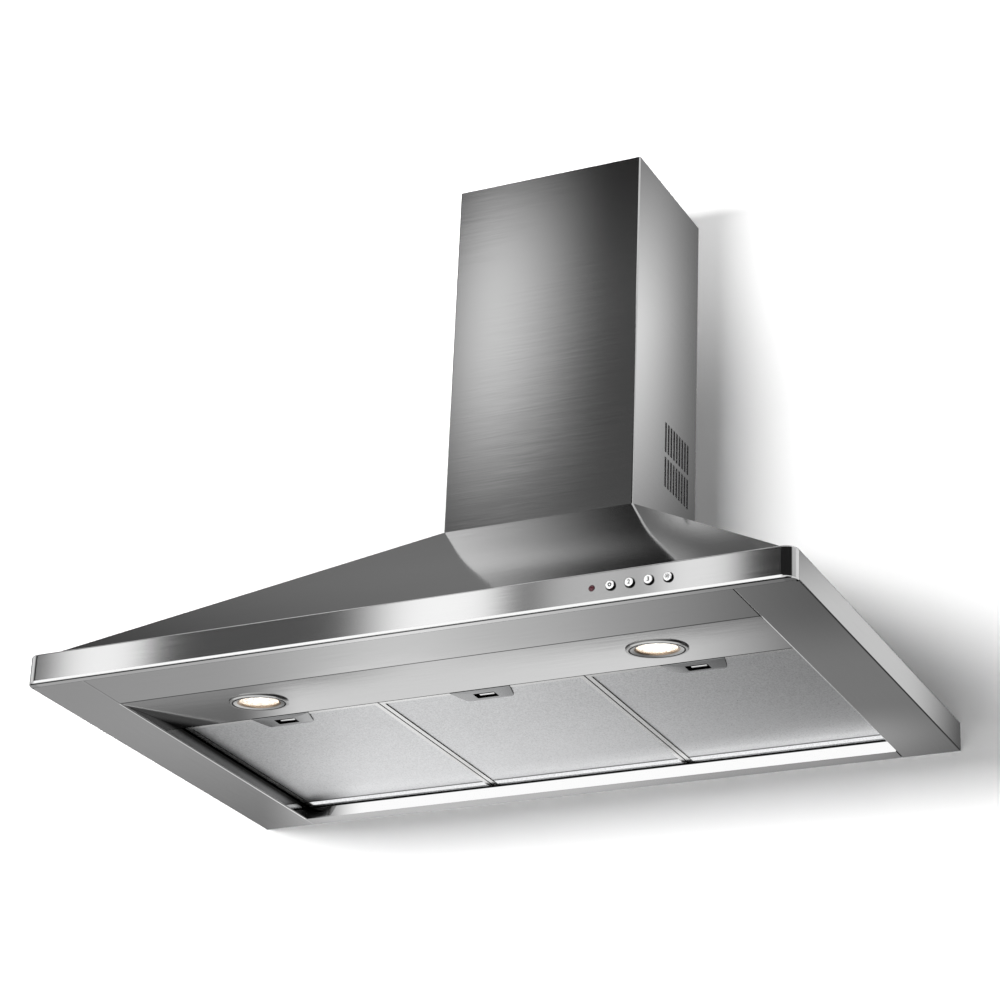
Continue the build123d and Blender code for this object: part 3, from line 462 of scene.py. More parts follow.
@dataclass(frozen=True)
class MeshWeave(Finish):
    """Fine aluminium mesh of a grease filter, seen as a close weave."""

    colour: Triple = (0.85, 0.856, 0.866)
    pitch: float = 0.0024
    wander: float = 0.0022
    # Painted light: the mesh grows paler towards the rear between these two places along Y
    painted_light_to_rear: Pair = (-0.27, -0.05)
    hem: float = -0.0325
    hem_tip: Triple = (0.0, -0.8, 0.0)
    fold: float = 0.0034
    edge: float = 0.0004
    wander_scale: float = 120.0
    fuzz_scale: Triple = (620.0, 420.0, 420.0)
    cloud_scale: float = 14.0
    brightest: float = 1.1

    def paint(self, graph: Graph) -> None:
        """Two crossing sets of wires, slightly uneven, with painted shade in the hollows, painted light that
        grows towards the rear, and a line of painted shade in front of a bright hem along the rear edge.

        Args:
            graph: the finish's empty graph.
        """
        place = graph.place()
        wander = graph.noise(place * self.wander_scale) * self.wander
        turns = 2 * math.pi / self.pitch
        x, back = graph.axis("X"), graph.axis("Y")
        wires = [graph.wave((x + back * slant + wander) * turns) for slant in (1.0, -1.0)]
        weave = wires[0] * wires[1] * 0.5 + 0.5
        fuzz = graph.noise(place * self.fuzz_scale, 3.0, 0.7)
        cloud = graph.noise(place * self.cloud_scale)
        # The weave's hollows are darker, painted shade, and the rear is paler, painted light
        tone = 0.28 + weave * 0.18 + fuzz * 0.98 + cloud * 0.06 + back.step(*self.painted_light_to_rear) * 0.16
        # Painted shade: a dark line just in front of the rear hem
        painted_crease_shade = back.window(self.hem - self.fold, self.hem, self.edge, self.edge)
        hem = back.step(self.hem - self.edge, self.hem + self.edge)
        bright = graph.combine("MINIMUM", tone, self.brightest)
        graph.surface({
            "Base Color": graph.tinted(self.colour, bright * (1 - painted_crease_shade * 0.72)),
            "Metallic": 1.0,
            "Roughness": 0.24 + fuzz * 0.12 - hem * 0.1,
            "Normal": graph.tipped(graph.bump(weave * 0.6 + fuzz, 0.00008), self.hem_tip, hem),
        })


@dataclass(frozen=True)
class Plastic(Finish):
    """Moulded plastic with a spark-eroded grain."""

    colour: Triple
    gloss: float = 0.45
    coat: float = 0.0
    pebble_scale: float = 1500.0
    scuff_scale: float = 70.0

    def paint(self, graph: Graph) -> None:
        """Fine pebbled grain, with scuffs that lighten the colour.

        Args:
            graph: the finish's empty graph.
        """
        pebble = graph.cells(graph.place() * self.pebble_scale)
        scuff = graph.noise(graph.place() * self.scuff_scale, 4.0, 0.6)
        graph.surface({
            "Base Color": graph.tinted(self.colour, 0.85 + scuff * 0.3),
            "Roughness": self.gloss + scuff * 0.12 + pebble * 0.06 - 0.06,
            "Coat Weight": self.coat,
            "Normal": graph.bump(pebble, 0.00003),
        })


@dataclass(frozen=True)
class ClearGlass(Finish):
    """Pressed lamp glass."""

    colour: Triple = (1.0, 0.985, 0.96)
    index: float = 1.45
    wave_scale: float = 160.0

    def paint(self, graph: Graph) -> None:
        """Almost clear, with the faint waves of a pressed disc.

        Args:
            graph: the finish's empty graph.
        """
        wave = graph.noise(graph.place() * self.wave_scale)
        graph.surface({
            "Base Color": graph.tinted(self.colour, 0.97 + wave * 0.03),
            "Roughness": 0.02 + wave * 0.04,
            "Transmission Weight": 1.0,
            "IOR": self.index,
            "Normal": graph.bump(wave, 0.0001),
        })


@dataclass(frozen=True)
class LampFinish(Finish):
    """A finish that is drawn round the axis of a lamp, one on each side of the hood."""

    across: float
    back: float

    def round_axis(self, graph: Graph) -> tuple[Wire, Wire, Wire]:
        """Where a point lies about the nearer lamp, seen from below.

        Args:
            graph: the graph of the finish.

        Returns:
            The distance from the axis, the angle about it and the way along Y.
        """
        x = graph.magnitude(graph.axis("X")) - self.across
        y = graph.axis("Y") - self.back
        return graph.combine("POWER", x * x + y * y, 0.5), graph.combine("ARCTAN2", y, x), y


@dataclass(frozen=True)
class LampRing(LampFinish):
    """Turned ring of a lamp, with painted shade in its groove and on its outer edge towards the front, a painted
    highlight on that edge towards the rear, and a painted warm glow at its mouth.
    """

    colour: Triple = (0.6, 0.6, 0.595)
    turning_scale: float = 5200.0
    groove: Pair = (0.0284, 0.0304)
    groove_soft: Pair = (0.0001, 0.0001)
    groove_painted_shade: Triple = (0.015, 0.015, 0.015)
    edge: Pair = (0.0331, 0.0335)
    edge_painted_shade: Triple = (0.02, 0.02, 0.02)
    edge_painted_highlight: Triple = (0.85, 0.85, 0.85)
    edge_turn: Pair = (-0.012, 0.022)
    mouth: Pair = (0.0244, 0.0248)
    mouth_painted_glow: Triple = (0.42, 0.33, 0.25)

    def paint(self, graph: Graph) -> None:
        """Fine turning marks, with painted shade in the groove and on the edge, a painted highlight on the edge's
        rear side and a painted glow at the mouth.

        Args:
            graph: the finish's empty graph.
        """
        radius, angle, y = self.round_axis(graph)
        spread = graph.node("ShaderNodeCombineXYZ", None, {"X": radius * self.turning_scale, "Y": angle})
        turning = graph.noise(spread)
        colour = graph.tinted(self.colour, 0.86 + turning * 0.28)
        # Painted shade in the groove, and on the outer edge painted shade at the front and a painted highlight at
        # the rear
        colour = graph.between(colour, self.groove_painted_shade, radius.window(*self.groove, *self.groove_soft))
        shade = graph.between(self.edge_painted_shade, self.edge_painted_highlight, y.step(*self.edge_turn))
        colour = graph.between(colour, shade, radius.step(*self.edge))
        graph.surface({
            # A painted warm glow of the lamp on the ring's mouth
            "Base Color": graph.between(colour, self.mouth_painted_glow, 1 - radius.step(*self.mouth)),
            "Metallic": 1.0,
            "Roughness": 0.2 + turning * 0.08,
            "Normal": graph.bump(turning, 0.000006),
        })


@dataclass(frozen=True)
class LitMirror(LampFinish):
    """Faceted reflector of a lamp that is switched on."""

    strength: float = 1.25
    colour: Triple = (0.9, 0.88, 0.84)
    streak_scale: Pair = (4.0, 90.0)
    middle: Triple = (1.0, 0.98, 0.95)
    rim: Triple = (1.0, 0.8, 0.62)
    warming: Pair = (0.019, 0.0255)

    def paint(self, graph: Graph) -> None:
        """Bright facets that warm towards the rim.

        Args:
            graph: the finish's empty graph.
        """
        radius, angle, _ = self.round_axis(graph)
        turn, out = self.streak_scale
        spread = graph.node("ShaderNodeCombineXYZ", None, {"X": angle * turn, "Y": radius * out})
        streak = graph.noise(spread, 1.0)
        tint = graph.between(self.middle, self.rim, radius.step(*self.warming))
        graph.surface({
            "Base Color": graph.tinted(self.colour, 0.8 + streak * 0.2),
            "Metallic": 1.0,
            "Roughness": 0.1 + streak * 0.1,
            "Emission Color": graph.between(NO_LIGHT, tint, 0.25 + streak.step(0.25, 0.75) * 0.75),
            "Emission Strength": self.strength,
        })


@dataclass(frozen=True)
class GlowingGlass(Finish):
    """Burner of a lamp that is switched on."""

    strength: float = 3.0
    colour: Triple = (1.0, 0.97, 0.9)
    glow: Triple = (1.0, 0.93, 0.8)
    shade_scale: float = 300.0

    def paint(self, graph: Graph) -> None:
        """White hot, a little uneven.

        Args:
            graph: the finish's empty graph.
        """
        shade = graph.noise(graph.place() * self.shade_scale, 1.0)
        graph.surface({
            "Base Color": graph.tinted(self.colour, 0.9 + shade * 0.1),
            "Roughness": 0.2 + shade * 0.1,
            "Emission Color": graph.tinted(self.glow, 0.8 + shade * 0.4),
            "Emission Strength": self.strength,
        })


@dataclass(frozen=True)
class CircuitBoard(Finish):
    """Lacquered board with tracks."""

    lacquer: Triple = (0.02, 0.16, 0.06)
    track: Triple = (0.05, 0.28, 0.11)
    track_scale: Triple = (260.0, 40.0, 260.0)
    track_edge: Pair = (0.04, 0.09)
    pad: Triple = (0.62, 0.56, 0.42)
    pad_scale: Triple = (190.0, 40.0, 190.0)
    pad_edge: Pair = (0.16, 0.2)

    def paint(self, graph: Graph) -> None:
        """Lighter tracks between round pads.

        Args:
            graph: the finish's empty graph.
        """
        cells = graph.cells(graph.place() * self.track_scale, "DISTANCE_TO_EDGE")
        pads = graph.cells(graph.place() * self.pad_scale)
        track = 1 - cells.step(*self.track_edge)
        pad = 1 - pads.step(*self.pad_edge)
        green = graph.between(self.lacquer, self.track, track)
        graph.surface({
            "Base Color": graph.between(green, self.pad, pad),
            "Metallic": pad,
            "Roughness": 0.3 + pad * 0.15,
            "Normal": graph.bump(track + pad, 0.00006),
        })


@dataclass(frozen=True)
class Backdrop(Finish):
    """Pale wall or floor that reads as white and still takes the object's shadow."""

    colour: Triple = (0.96, 0.96, 0.96)
    lift: float = 0.03
    # Painted light high on the wall, which fades the chimney's shadow there
    painted_light_above: float = 0.34
    lift_below: float = 0.55
    above: Pair = (0.45, 0.75)
    below: Pair = (-1.5, -1.4)
    covered: Triple = (0.1215, 0.278, 0.741)
    edge: float = 0.0004
    mottle_scale: float = 2.0

    def paint(self, graph: Graph) -> None:
        """A matt colour, with a lift that only the eye and mirrors see.

        The lift is stronger on the floor, so that it reads as evenly white, and high on the wall, where it is
        painted light that
        fades the chimney's shadow. Behind the chimney, between its sides and its ends, the wall has none, so it
        is darker there:
        painted shade.

        Args:
            graph: the finish's empty graph.
        """
        mottle = graph.noise(graph.place() * self.mottle_scale)
        half, foot, top = self.covered
        across, up = graph.axis("X"), graph.axis("Z")
        # No lift behind the chimney, so the wall stays darker there: painted shade
        behind = across.window(-half, half, self.edge, self.edge) * up.window(foot, top, self.edge, self.edge)
        high, ground = up.step(*self.above), 1 - up.step(*self.below)
        lift = (self.lift + high * self.painted_light_above + ground * self.lift_below) * (1 - behind)
        graph.one_sided({
            "Base Color": graph.tinted(self.colour, 0.99 + mottle * 0.02),
            "Roughness": 0.9,
            "Specular IOR Level": 0.0,
            "Emission Color": graph.tinted(FULL_WHITE, graph.seen() * lift),
            "Emission Strength": 1.0,
        })


@dataclass(frozen=True)
class SoftPatch:
    """A soft-edged bright area on a studio screen, by its two coordinates and the softness of its ends."""

    across: Pair
    up: Pair
    level: float
    soft_across: Pair = (0.1, 0.1)
    soft_up: Pair = (0.2, 0.2)


@dataclass(frozen=True)
class ScreenFinish(Finish):
    """What a studio screen shows to shiny metal."""

    axis: str
    base: float
    patches: tuple[SoftPatch, ...] = ()

    def paint(self, graph: Graph) -> None:
        """A plain level with soft patches added.

        Args:
            graph: the finish's empty graph.
        """
        across, up = graph.axis(self.axis), graph.axis("Z")
        level: Any = up * 0.0 + self.base
        for patch in self.patches:
            share = across.window(*patch.across, *patch.soft_across) * up.window(*patch.up, *patch.soft_up)
            level = level + share * patch.level
        level = level * graph.direct()
        graph.one_sided({
            "Base Color": NO_LIGHT,
            "Roughness": 1.0,
            "Specular IOR Level": 0.0,
            "Emission Color": graph.tinted(FULL_WHITE, level),
            "Emission Strength": 1.0,
        })


LAMP_ACROSS, LAMP_BACK = 0.240, -0.3865
# How soft the ends of a seam are, in metres
LINE = 0.0003
FINE_LINE = 0.0002
FASCIA_STEEL = BrushedSteel("fascia_steel", Grain.ALONG_X, (
    # Painted highlight: a white line along the band's rounded lower lip, whose normal is also tipped down
    Shade(
        0.97, x=(-0.437, 0.4355, 0.002), z=(-1.0, 0.0026, FINE_LINE), faces=(0.0, -1.0, -0.6),
        tip=(0.0, 0.0, -0.6),
    ),
    # Painted shade: a black line on the underside just behind the lip
    Shade(0.01, y=(-0.5386, -0.5354, LINE), faces=DOWN),
))
LAMP_STEEL = BrushedSteel("lamp_panel_steel", Grain.ALONG_X, (
    # Painted shade: a dark line along the lamp panel's fold
    Shade(0.06, y=(-0.4534, -0.4508, LINE), faces=DOWN),
))
REAR_STEEL = BrushedSteel("rear_strip_steel", Grain.ALONG_X, (
    # Painted shade: the upstand behind the filters is black
    Shade(0.012, y=(-0.0232, -0.0212, FINE_LINE), faces=FRONT),
    # Painted highlight: the upstand's lower part is white, fading to the black towards the left end, with its
    # normal tipped down
    Shade(
        0.97, x=(-0.338, 1.0, 0.04), y=(-0.0232, -0.0212, FINE_LINE), z=(-1.0, 0.0132, FINE_LINE),
        faces=(0.0, -1.0, -0.2), tip=(0.0, 0.0, -0.55),
    ),
))
SIDE_STEEL = BrushedSteel("side_panel_steel", Grain.ALONG_Y, (
    # Painted shade: the inner walls of the filter recess are darker, and black from 9.5 mm up
    Shade(0.42, x=(-0.3815, -0.3785, LINE), z=(0.0012, 1.0, 0.0006), faces=RIGHT),
    Shade(0.42, x=(0.3785, 0.3815, LINE), z=(0.0012, 1.0, 0.0006), faces=LEFT),
    Shade(0.008, x=(-0.3815, 0.3815, LINE), z=(0.0095, 0.0272, 0.0035)),
    # Painted shade: a black line in the seam at the front of the left strip
    Shade(0.01, x=(-0.3815, -0.3785, LINE), y=(-0.54, -0.4515, 0.0005), faces=RIGHT),
    # Painted highlights: light lines along the inner edges of both strips, with their normals tipped
    Shade(
        0.97, x=(-0.382, -0.3796, FINE_LINE), y=(-0.4515, -0.022, 0.0005), z=(-1.0, 0.0006, FINE_LINE),
        faces=DOWN, tip=(0.2, 0.0, 0.0),
    ),
    Shade(
        0.97, x=(0.3796, 0.382, FINE_LINE), y=(-0.4515, -0.022, 0.0005), z=(-1.0, 0.0006, FINE_LINE),
        faces=DOWN, tip=(-0.2, 0.0, 0.0),
    ),
))
SLOPE_STEEL = BrushedSteel("canopy_steel", Grain.LEVEL, (
    Shade(z=(-1.0, 0.12, 0.08), tip=(0.0, 0.0, -0.06)),
))
CHIMNEY_STEEL = BrushedSteel("chimney_steel", Grain.LEVEL, (
    # Painted shade: the inside of the cover is darker
    Shade(0.6, x=(-0.1214, 0.1214, FINE_LINE), y=(-0.1894, 1.0, FINE_LINE)),
    # Painted shade: the walls of the vent slots are near black
    Shade(0.006, x=(0.118, 0.1226, FINE_LINE), y=(-0.12, -0.015, 0.001), z=(0.33, 0.43, 0.001), faces=FRONT),
))
ZINC = ZincSheet("zinc_sheet")
# The upright walls of the filter frames, handle plates and latches carry painted shade
RIM_METAL = SatinMetal("filter_rim", (0.88, 0.88, 0.875), 0.26, face=UP)
GRIP = SatinMetal("filter_grip", (0.4, 0.405, 0.41), 0.22, 1400.0, 0.000006, face=UP)
PULL = SatinMetal("latch_metal", (0.95, 0.95, 0.95), 0.16, 500.0, 0.000004, face=UP)
# Painted shade: the side of each button cap is near black round its light face
CAP = SatinMetal(
    "button_cap", (0.9, 0.9, 0.9), depth=0.000004, metal=0.35, face=FRONT, turn=(0.8, 0.97),
    wall=(0.005, 0.005, 0.005),
)
SHAFT = SatinMetal("shaft_steel", (0.6, 0.6, 0.6), 0.2, 700.0, 0.000005)
MOTOR = SatinMetal("motor_lacquer", (0.3, 0.31, 0.33), 0.4, 500.0, 0.00003, 0.6)
RED_LENS = Plastic("red_lens", (0.05, 0.002, 0.008), 0.16, 0.3)
INK = Plastic("dark_ink", (0.02, 0.02, 0.021), 0.6)
BLACK = Plastic("black_plastic", (0.035, 0.035, 0.038))
GREY = Plastic("grey_plastic", (0.32, 0.33, 0.34))
WHITE = Plastic("white_plastic", (0.78, 0.78, 0.76))
WEAVE = MeshWeave("filter_weave")
GLASS = ClearGlass("lamp_glass")
LAMP_RING = LampRing("lamp_ring", LAMP_ACROSS, LAMP_BACK)
LIT = LitMirror("lit_reflector", LAMP_ACROSS, LAMP_BACK)
GLOW = GlowingGlass("lit_burner")
BOARD = CircuitBoard("circuit_board")


# Pieces
def stand(bm: bmesh.types.BMesh, name: str, place: Matrix | None = None) -> bpy.types.Object:
    """Make a finished mesh an object at the origin.

    Args:
        bm: the mesh, which is freed.
        name: the piece's name.
        place: where its own frame sits.

    Returns:
        The object.
    """
    if place is not None:
        bmesh.ops.transform(bm, matrix=place, verts=bm.verts)
    mesh = bpy.data.meshes.new(name)
    bm.to_mesh(mesh)
    bm.free()
    piece = bpy.data.objects.new(name, mesh)
    bpy.context.scene.collection.objects.link(piece)
    return piece


def soften(piece: bpy.types.Object, degrees: float = SMOOTH_BELOW) -> None:
    """Shade a piece smooth up to an angle between its faces."""
    piece.data.shade_smooth()
    piece.data.set_sharp_from_angle(angle=math.radians(degrees))


def settle(piece: bpy.types.Object, body: str, finish: Finish, nodes: Sequence[str] = ()) -> None:
    """Finish a new piece and let it ride.

    Args:
        piece: the piece.
        body: the body that carries it.
        finish: its finish.
        nodes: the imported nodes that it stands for.
    """
    finish.dress(piece)
    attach(piece, body)
    if nodes:
        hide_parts(*nodes)
    log.info("made %s on %s", piece.name, body)


def turned(profile: Sequence[Pair], steps: int, closed: bool = False) -> bmesh.types.BMesh:
    """A turned solid about Z.

    Args:
        profile: radius and height along the section, from axis to axis or all round.
        steps: how many sides it has.
        closed: whether the section goes all round.

    Returns:
        The mesh.
    """
    bm = bmesh.new()
    points = [bm.verts.new((r, 0.0, z)) for r, z in profile]
    ends = points[1:] + points[:1] if closed else points[1:]
    edges = [bm.edges.new(pair) for pair in zip(points, ends)]
    bmesh.ops.spin(
        bm, geom=points + edges, cent=(0, 0, 0), axis=UP, angle=2 * math.pi, steps=steps, use_merge=True
    )
    bmesh.ops.remove_doubles(bm, verts=bm.verts, dist=MERGE)
    bmesh.ops.recalc_face_normals(bm, faces=bm.faces)
    return bm


def rounded_bar(bm: bmesh.types.BMesh, low: Triple, high: Triple, bevel: float, segments: int) -> None:
    """Add a bar with rounded edges between two corners.

    Args:
        bm: the mesh that it joins.
        low: its lowest corner.
        high: its highest corner.
        bevel: the rounding.
        segments: how many facets the rounding has.
    """
    size = [b - a for a, b in zip(low, high)]
    middle = Vector([(a + b) / 2 for a, b in zip(low, high)])
    place = Matrix.Translation(middle) @ Matrix.Diagonal((*size, 1.0))
    made = bmesh.ops.create_cube(bm, size=1.0, matrix=place)
    edges = {edge for vert in made["verts"] for edge in vert.link_edges}
    bmesh.ops.bevel(
        bm, geom=list(edges), offset=bevel, segments=segments, profile=0.5, affect="EDGES", material=-1
    )


def rounded_loop(bm: bmesh.types.BMesh, corners: Sequence[Triple], z: float) -> list[bmesh.types.BMEdge]:
    """A closed loop of edges with rounded corners.

    Args:
        bm: the mesh that it joins.
        corners: x, y and radius of each corner in turn.
        z: its height.

    Returns:
        The loop's edges.
    """
    verts = []
    for number, (x, y, radius) in enumerate(corners):
        corner = Vector((x, y))
        beside = (corners[number - 1], corners[(number + 1) % len(corners)])
        ways = [(Vector(other[:2]) - corner).normalized() for other in beside]
        half = ways[0].angle(ways[1]) / 2
        middle = corner + (ways[0] + ways[1]).normalized() * radius / math.sin(half)
        start, end = (corner + way * radius / math.tan(half) - middle for way in ways)
        for step in range(ARC_POINTS):
            arm = start.lerp(end, step / (ARC_POINTS - 1)).normalized() * radius
            verts.append(bm.verts.new((*(middle + arm), z)))
    return [bm.edges.new(pair) for pair in zip(verts, verts[1:] + verts[:1])]


# Sub-assemblies
Coats = tuple[tuple[Finish, tuple[str, ...]], ...]


@dataclass
class SubAssembly:
    """Pieces that are built together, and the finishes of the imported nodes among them."""

    coats: Coats = ()

    def build(self) -> None:
        """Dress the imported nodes."""
        for finish, names in self.coats:
            for name in names:
                finish.dress(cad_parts[name])
                log.info("dressed %s in %s", name, finish.name)


@dataclass
class Canopy(SubAssembly):
    """The band, the underside's sheets, the pyramid and the panel at the wall, each with its own grain."""

    coats: Coats = (
        (FASCIA_STEEL, ("fascia",)),
        (LAMP_STEEL, ("lamp_panel",)),
        (REAR_STEEL, ("rear_strip",)),
        (SIDE_STEEL, ("left_side_panel", "right_side_panel")),
        (SLOPE_STEEL, ("canopy_front_panel", "canopy_left_panel", "canopy_right_panel")),
        (ZINC, ("back_panel", "canopy_deck")),
    )


@dataclass
class Chimney(SubAssembly):
    """The cover, the piece that slides inside it and their fixings."""

    coats: Coats = (
        (CHIMNEY_STEEL, ("chimney_cover",)),
        (SLOPE_STEEL, ("chimney_extension",)),
        (ZINC, ("chimney_clips", "chimney_wall_bracket", "extension_bracket")),
    )


@dataclass
class LampRow(SubAssembly):
    """The two spot lamps in the sloping panel."""

    coats: Coats = (
        (LAMP_RING, ("left_lamp_bezel", "right_lamp_bezel")),
        (GLASS, ("left_lamp_lens", "right_lamp_lens")),
        (WHITE, ("left_lamp_holder", "right_lamp_holder")),
    )
    across: float = LAMP_ACROSS
    back: float = LAMP_BACK
    height: float = 0.008
    rise: Pair = (0.016, 0.131)
    facets: int = 24
    burner_sides: int = 20
    bowl: tuple[Pair, ...] = (
        (0.0, 0.0300), (0.0060, 0.0300), (0.0112, 0.0275), (0.0158, 0.0225), (0.0194, 0.0165),
        (0.0220, 0.0098), (0.0238, 0.0036), (0.0252, 0.0036), (0.0242, 0.0110), (0.0204, 0.0234),
        (0.0150, 0.0330), (0.0120, 0.0394), (0.0090, 0.0396), (0.0090, 0.0514), (0.0, 0.0514),
    )
    burner: tuple[Pair, ...] = (
        (0.0, 0.0115), (0.0028, 0.0122), (0.0042, 0.0145), (0.0042, 0.0235), (0.0030, 0.0255), (0.0030, 0.0298),
        (0.0, 0.0298),
    )

    def place(self, side: int) -> Matrix:
        """The frame of the lamp on the left, -1, or the right, 1, with Z pointing into the hood."""
        tilt = Matrix.Rotation(math.atan2(*self.rise), 4, "X")
        return Matrix.Translation((side * self.across, self.back, self.height)) @ tilt

    def build(self) -> None:
        """Make each lamp's reflector and burner, and dress the rest."""
        for name, side in (("left", -1), ("right", 1)):
            bowl = stand(turned(self.bowl, self.facets), f"{name}_lamp_reflector", self.place(side))
            settle(bowl, "hood", LIT, [f"{name}_lamp_bulb"])
            burner = stand(turned(self.burner, self.burner_sides), f"{name}_lamp_burner", self.place(side))
            soften(burner)
            settle(burner, "hood", GLOW)
        super().build()


class Mark(Enum):
    """What is printed on a button."""

    RING = "ring"
    TWO = "2"
    THREE = "3"
    LAMP = "lamp"


@dataclass
class ControlStrip(SubAssembly):
    """Push buttons, their printed marks, the indicator and the switch block behind them."""

    coats: Coats = ((RED_LENS, ("indicator_lens",)), (BLACK, ("switch_block",)))
    first: float = 0.2533
    pitch: float = 0.0209
    front: float = -0.540
    height: float = 0.017
    radius: float = 0.005
    skirt: float = -0.0036
    stem: float = 0.003
    stem_end: float = -0.0127
    crown: float = 0.00308
    roll: tuple[Pair, ...] = (
        (0.0, 0.0), (0.4, 0.00002), (0.7, 0.00008), (0.86, 0.00016), (0.93, 0.0003), (0.98, 0.0006), (1.0, 0.001),
    )
    sides: int = 48
    smooth_below: float = 50.0
    ink_top: float = 0.00316
    ink_depth: float = 0.0003
    ink_sides: int = 32
    marks: tuple[Mark, ...] = (Mark.RING, Mark.TWO, Mark.THREE, Mark.LAMP)
    ring_band: Pair = (0.0010, 0.0021)
    lamp_band: Pair = (0.0006, 0.0014)
    rays: int = 8
    ray_out: float = 0.0023
    ray_size: Pair = (0.0009, 0.0006)
    digit: float = 0.0064
    bold: float = 0.00014
    digit_merge: float = 1e-7
    digit_steps: int = 4

    def place(self, number: int) -> Matrix:
        """The frame of a button, counted from 0, with Z pointing out to the front."""
        turn = Matrix.Rotation(math.pi / 2, 4, "X")
        return Matrix.Translation((self.first + number * self.pitch, self.front, self.height)) @ turn

    def cap(self) -> bmesh.types.BMesh:
        """A flat cap with a rolled edge, on its stem.

        Returns:
            The mesh.
        """
        crown = [(out * self.radius, self.crown - drop) for out, drop in self.roll]
        under = [(self.radius, self.skirt), (self.stem, self.skirt)]
        stem = [(self.stem, self.stem_end), (0.0, self.stem_end)]
        return turned(crown + under + stem, self.sides)

    def ring(self, inner: float, outer: float) -> bmesh.types.BMesh:
        """A flat ring of ink between two radii."""
        low, high = self.ink_top - self.ink_depth, self.ink_top
        return turned([(inner, low), (outer, low), (outer, high), (inner, high)], self.ink_sides, closed=True)

    def lamp_sign(self) -> bmesh.types.BMesh:
        """A small ring with rays.

        Returns:
            The mesh.
        """
        bm = self.ring(*self.lamp_band)
        out = Matrix.Translation((self.ray_out, 0.0, self.ink_top - self.ink_depth / 2))
        size = Matrix.Diagonal((*self.ray_size, self.ink_depth, 1.0))
        for number in range(self.rays):
            turn = Matrix.Rotation(number * 2 * math.pi / self.rays, 4, "Z")
            bmesh.ops.create_cube(bm, size=1.0, matrix=turn @ out @ size)
        return bm

    def digit_sign(self, text: str) -> bmesh.types.BMesh:
        """A digit as a flat solid.

        Args:
            text: the digit.

        Returns:
            The mesh.
        """
        curve = bpy.data.curves.new(f"digit_{text}", "FONT")
        curve.body = text
        curve.size = self.digit
        curve.align_x, curve.align_y = "CENTER", "CENTER"
        curve.extrude = self.ink_depth / 2
        curve.offset = self.bold
        curve.resolution_u = self.digit_steps
        writing = bpy.data.objects.new(curve.name, curve)
        bm = bmesh.new()
        bm.from_mesh(bpy.data.meshes.new_from_object(writing))
        bpy.data.objects.remove(writing)
        bmesh.ops.remove_doubles(bm, verts=bm.verts, dist=self.digit_merge)
        bmesh.ops.translate(bm, verts=bm.verts, vec=(0.0, 0.0, self.ink_top - self.ink_depth / 2))
        return bm

    def sign(self, mark: Mark) -> bmesh.types.BMesh:
        """The ink of one mark.

        Args:
            mark: the mark.

        Returns:
            The mesh.
        """
        if mark is Mark.RING:
            return self.ring(*self.ring_band)
        return self.lamp_sign() if mark is Mark.LAMP else self.digit_sign(mark.value)

    def build(self) -> None:
        """Make the caps and marks, and dress the rest."""
        for number, mark in enumerate(self.marks):
            node = f"button_{number + 1}"
            cap = stand(self.cap(), f"{node}_cap", self.place(number))
            soften(cap, self.smooth_below)
            settle(cap, node, CAP, [node])
            ink = stand(self.sign(mark), f"{node}_mark", self.place(number))
            settle(ink, node, INK)
        super().build()


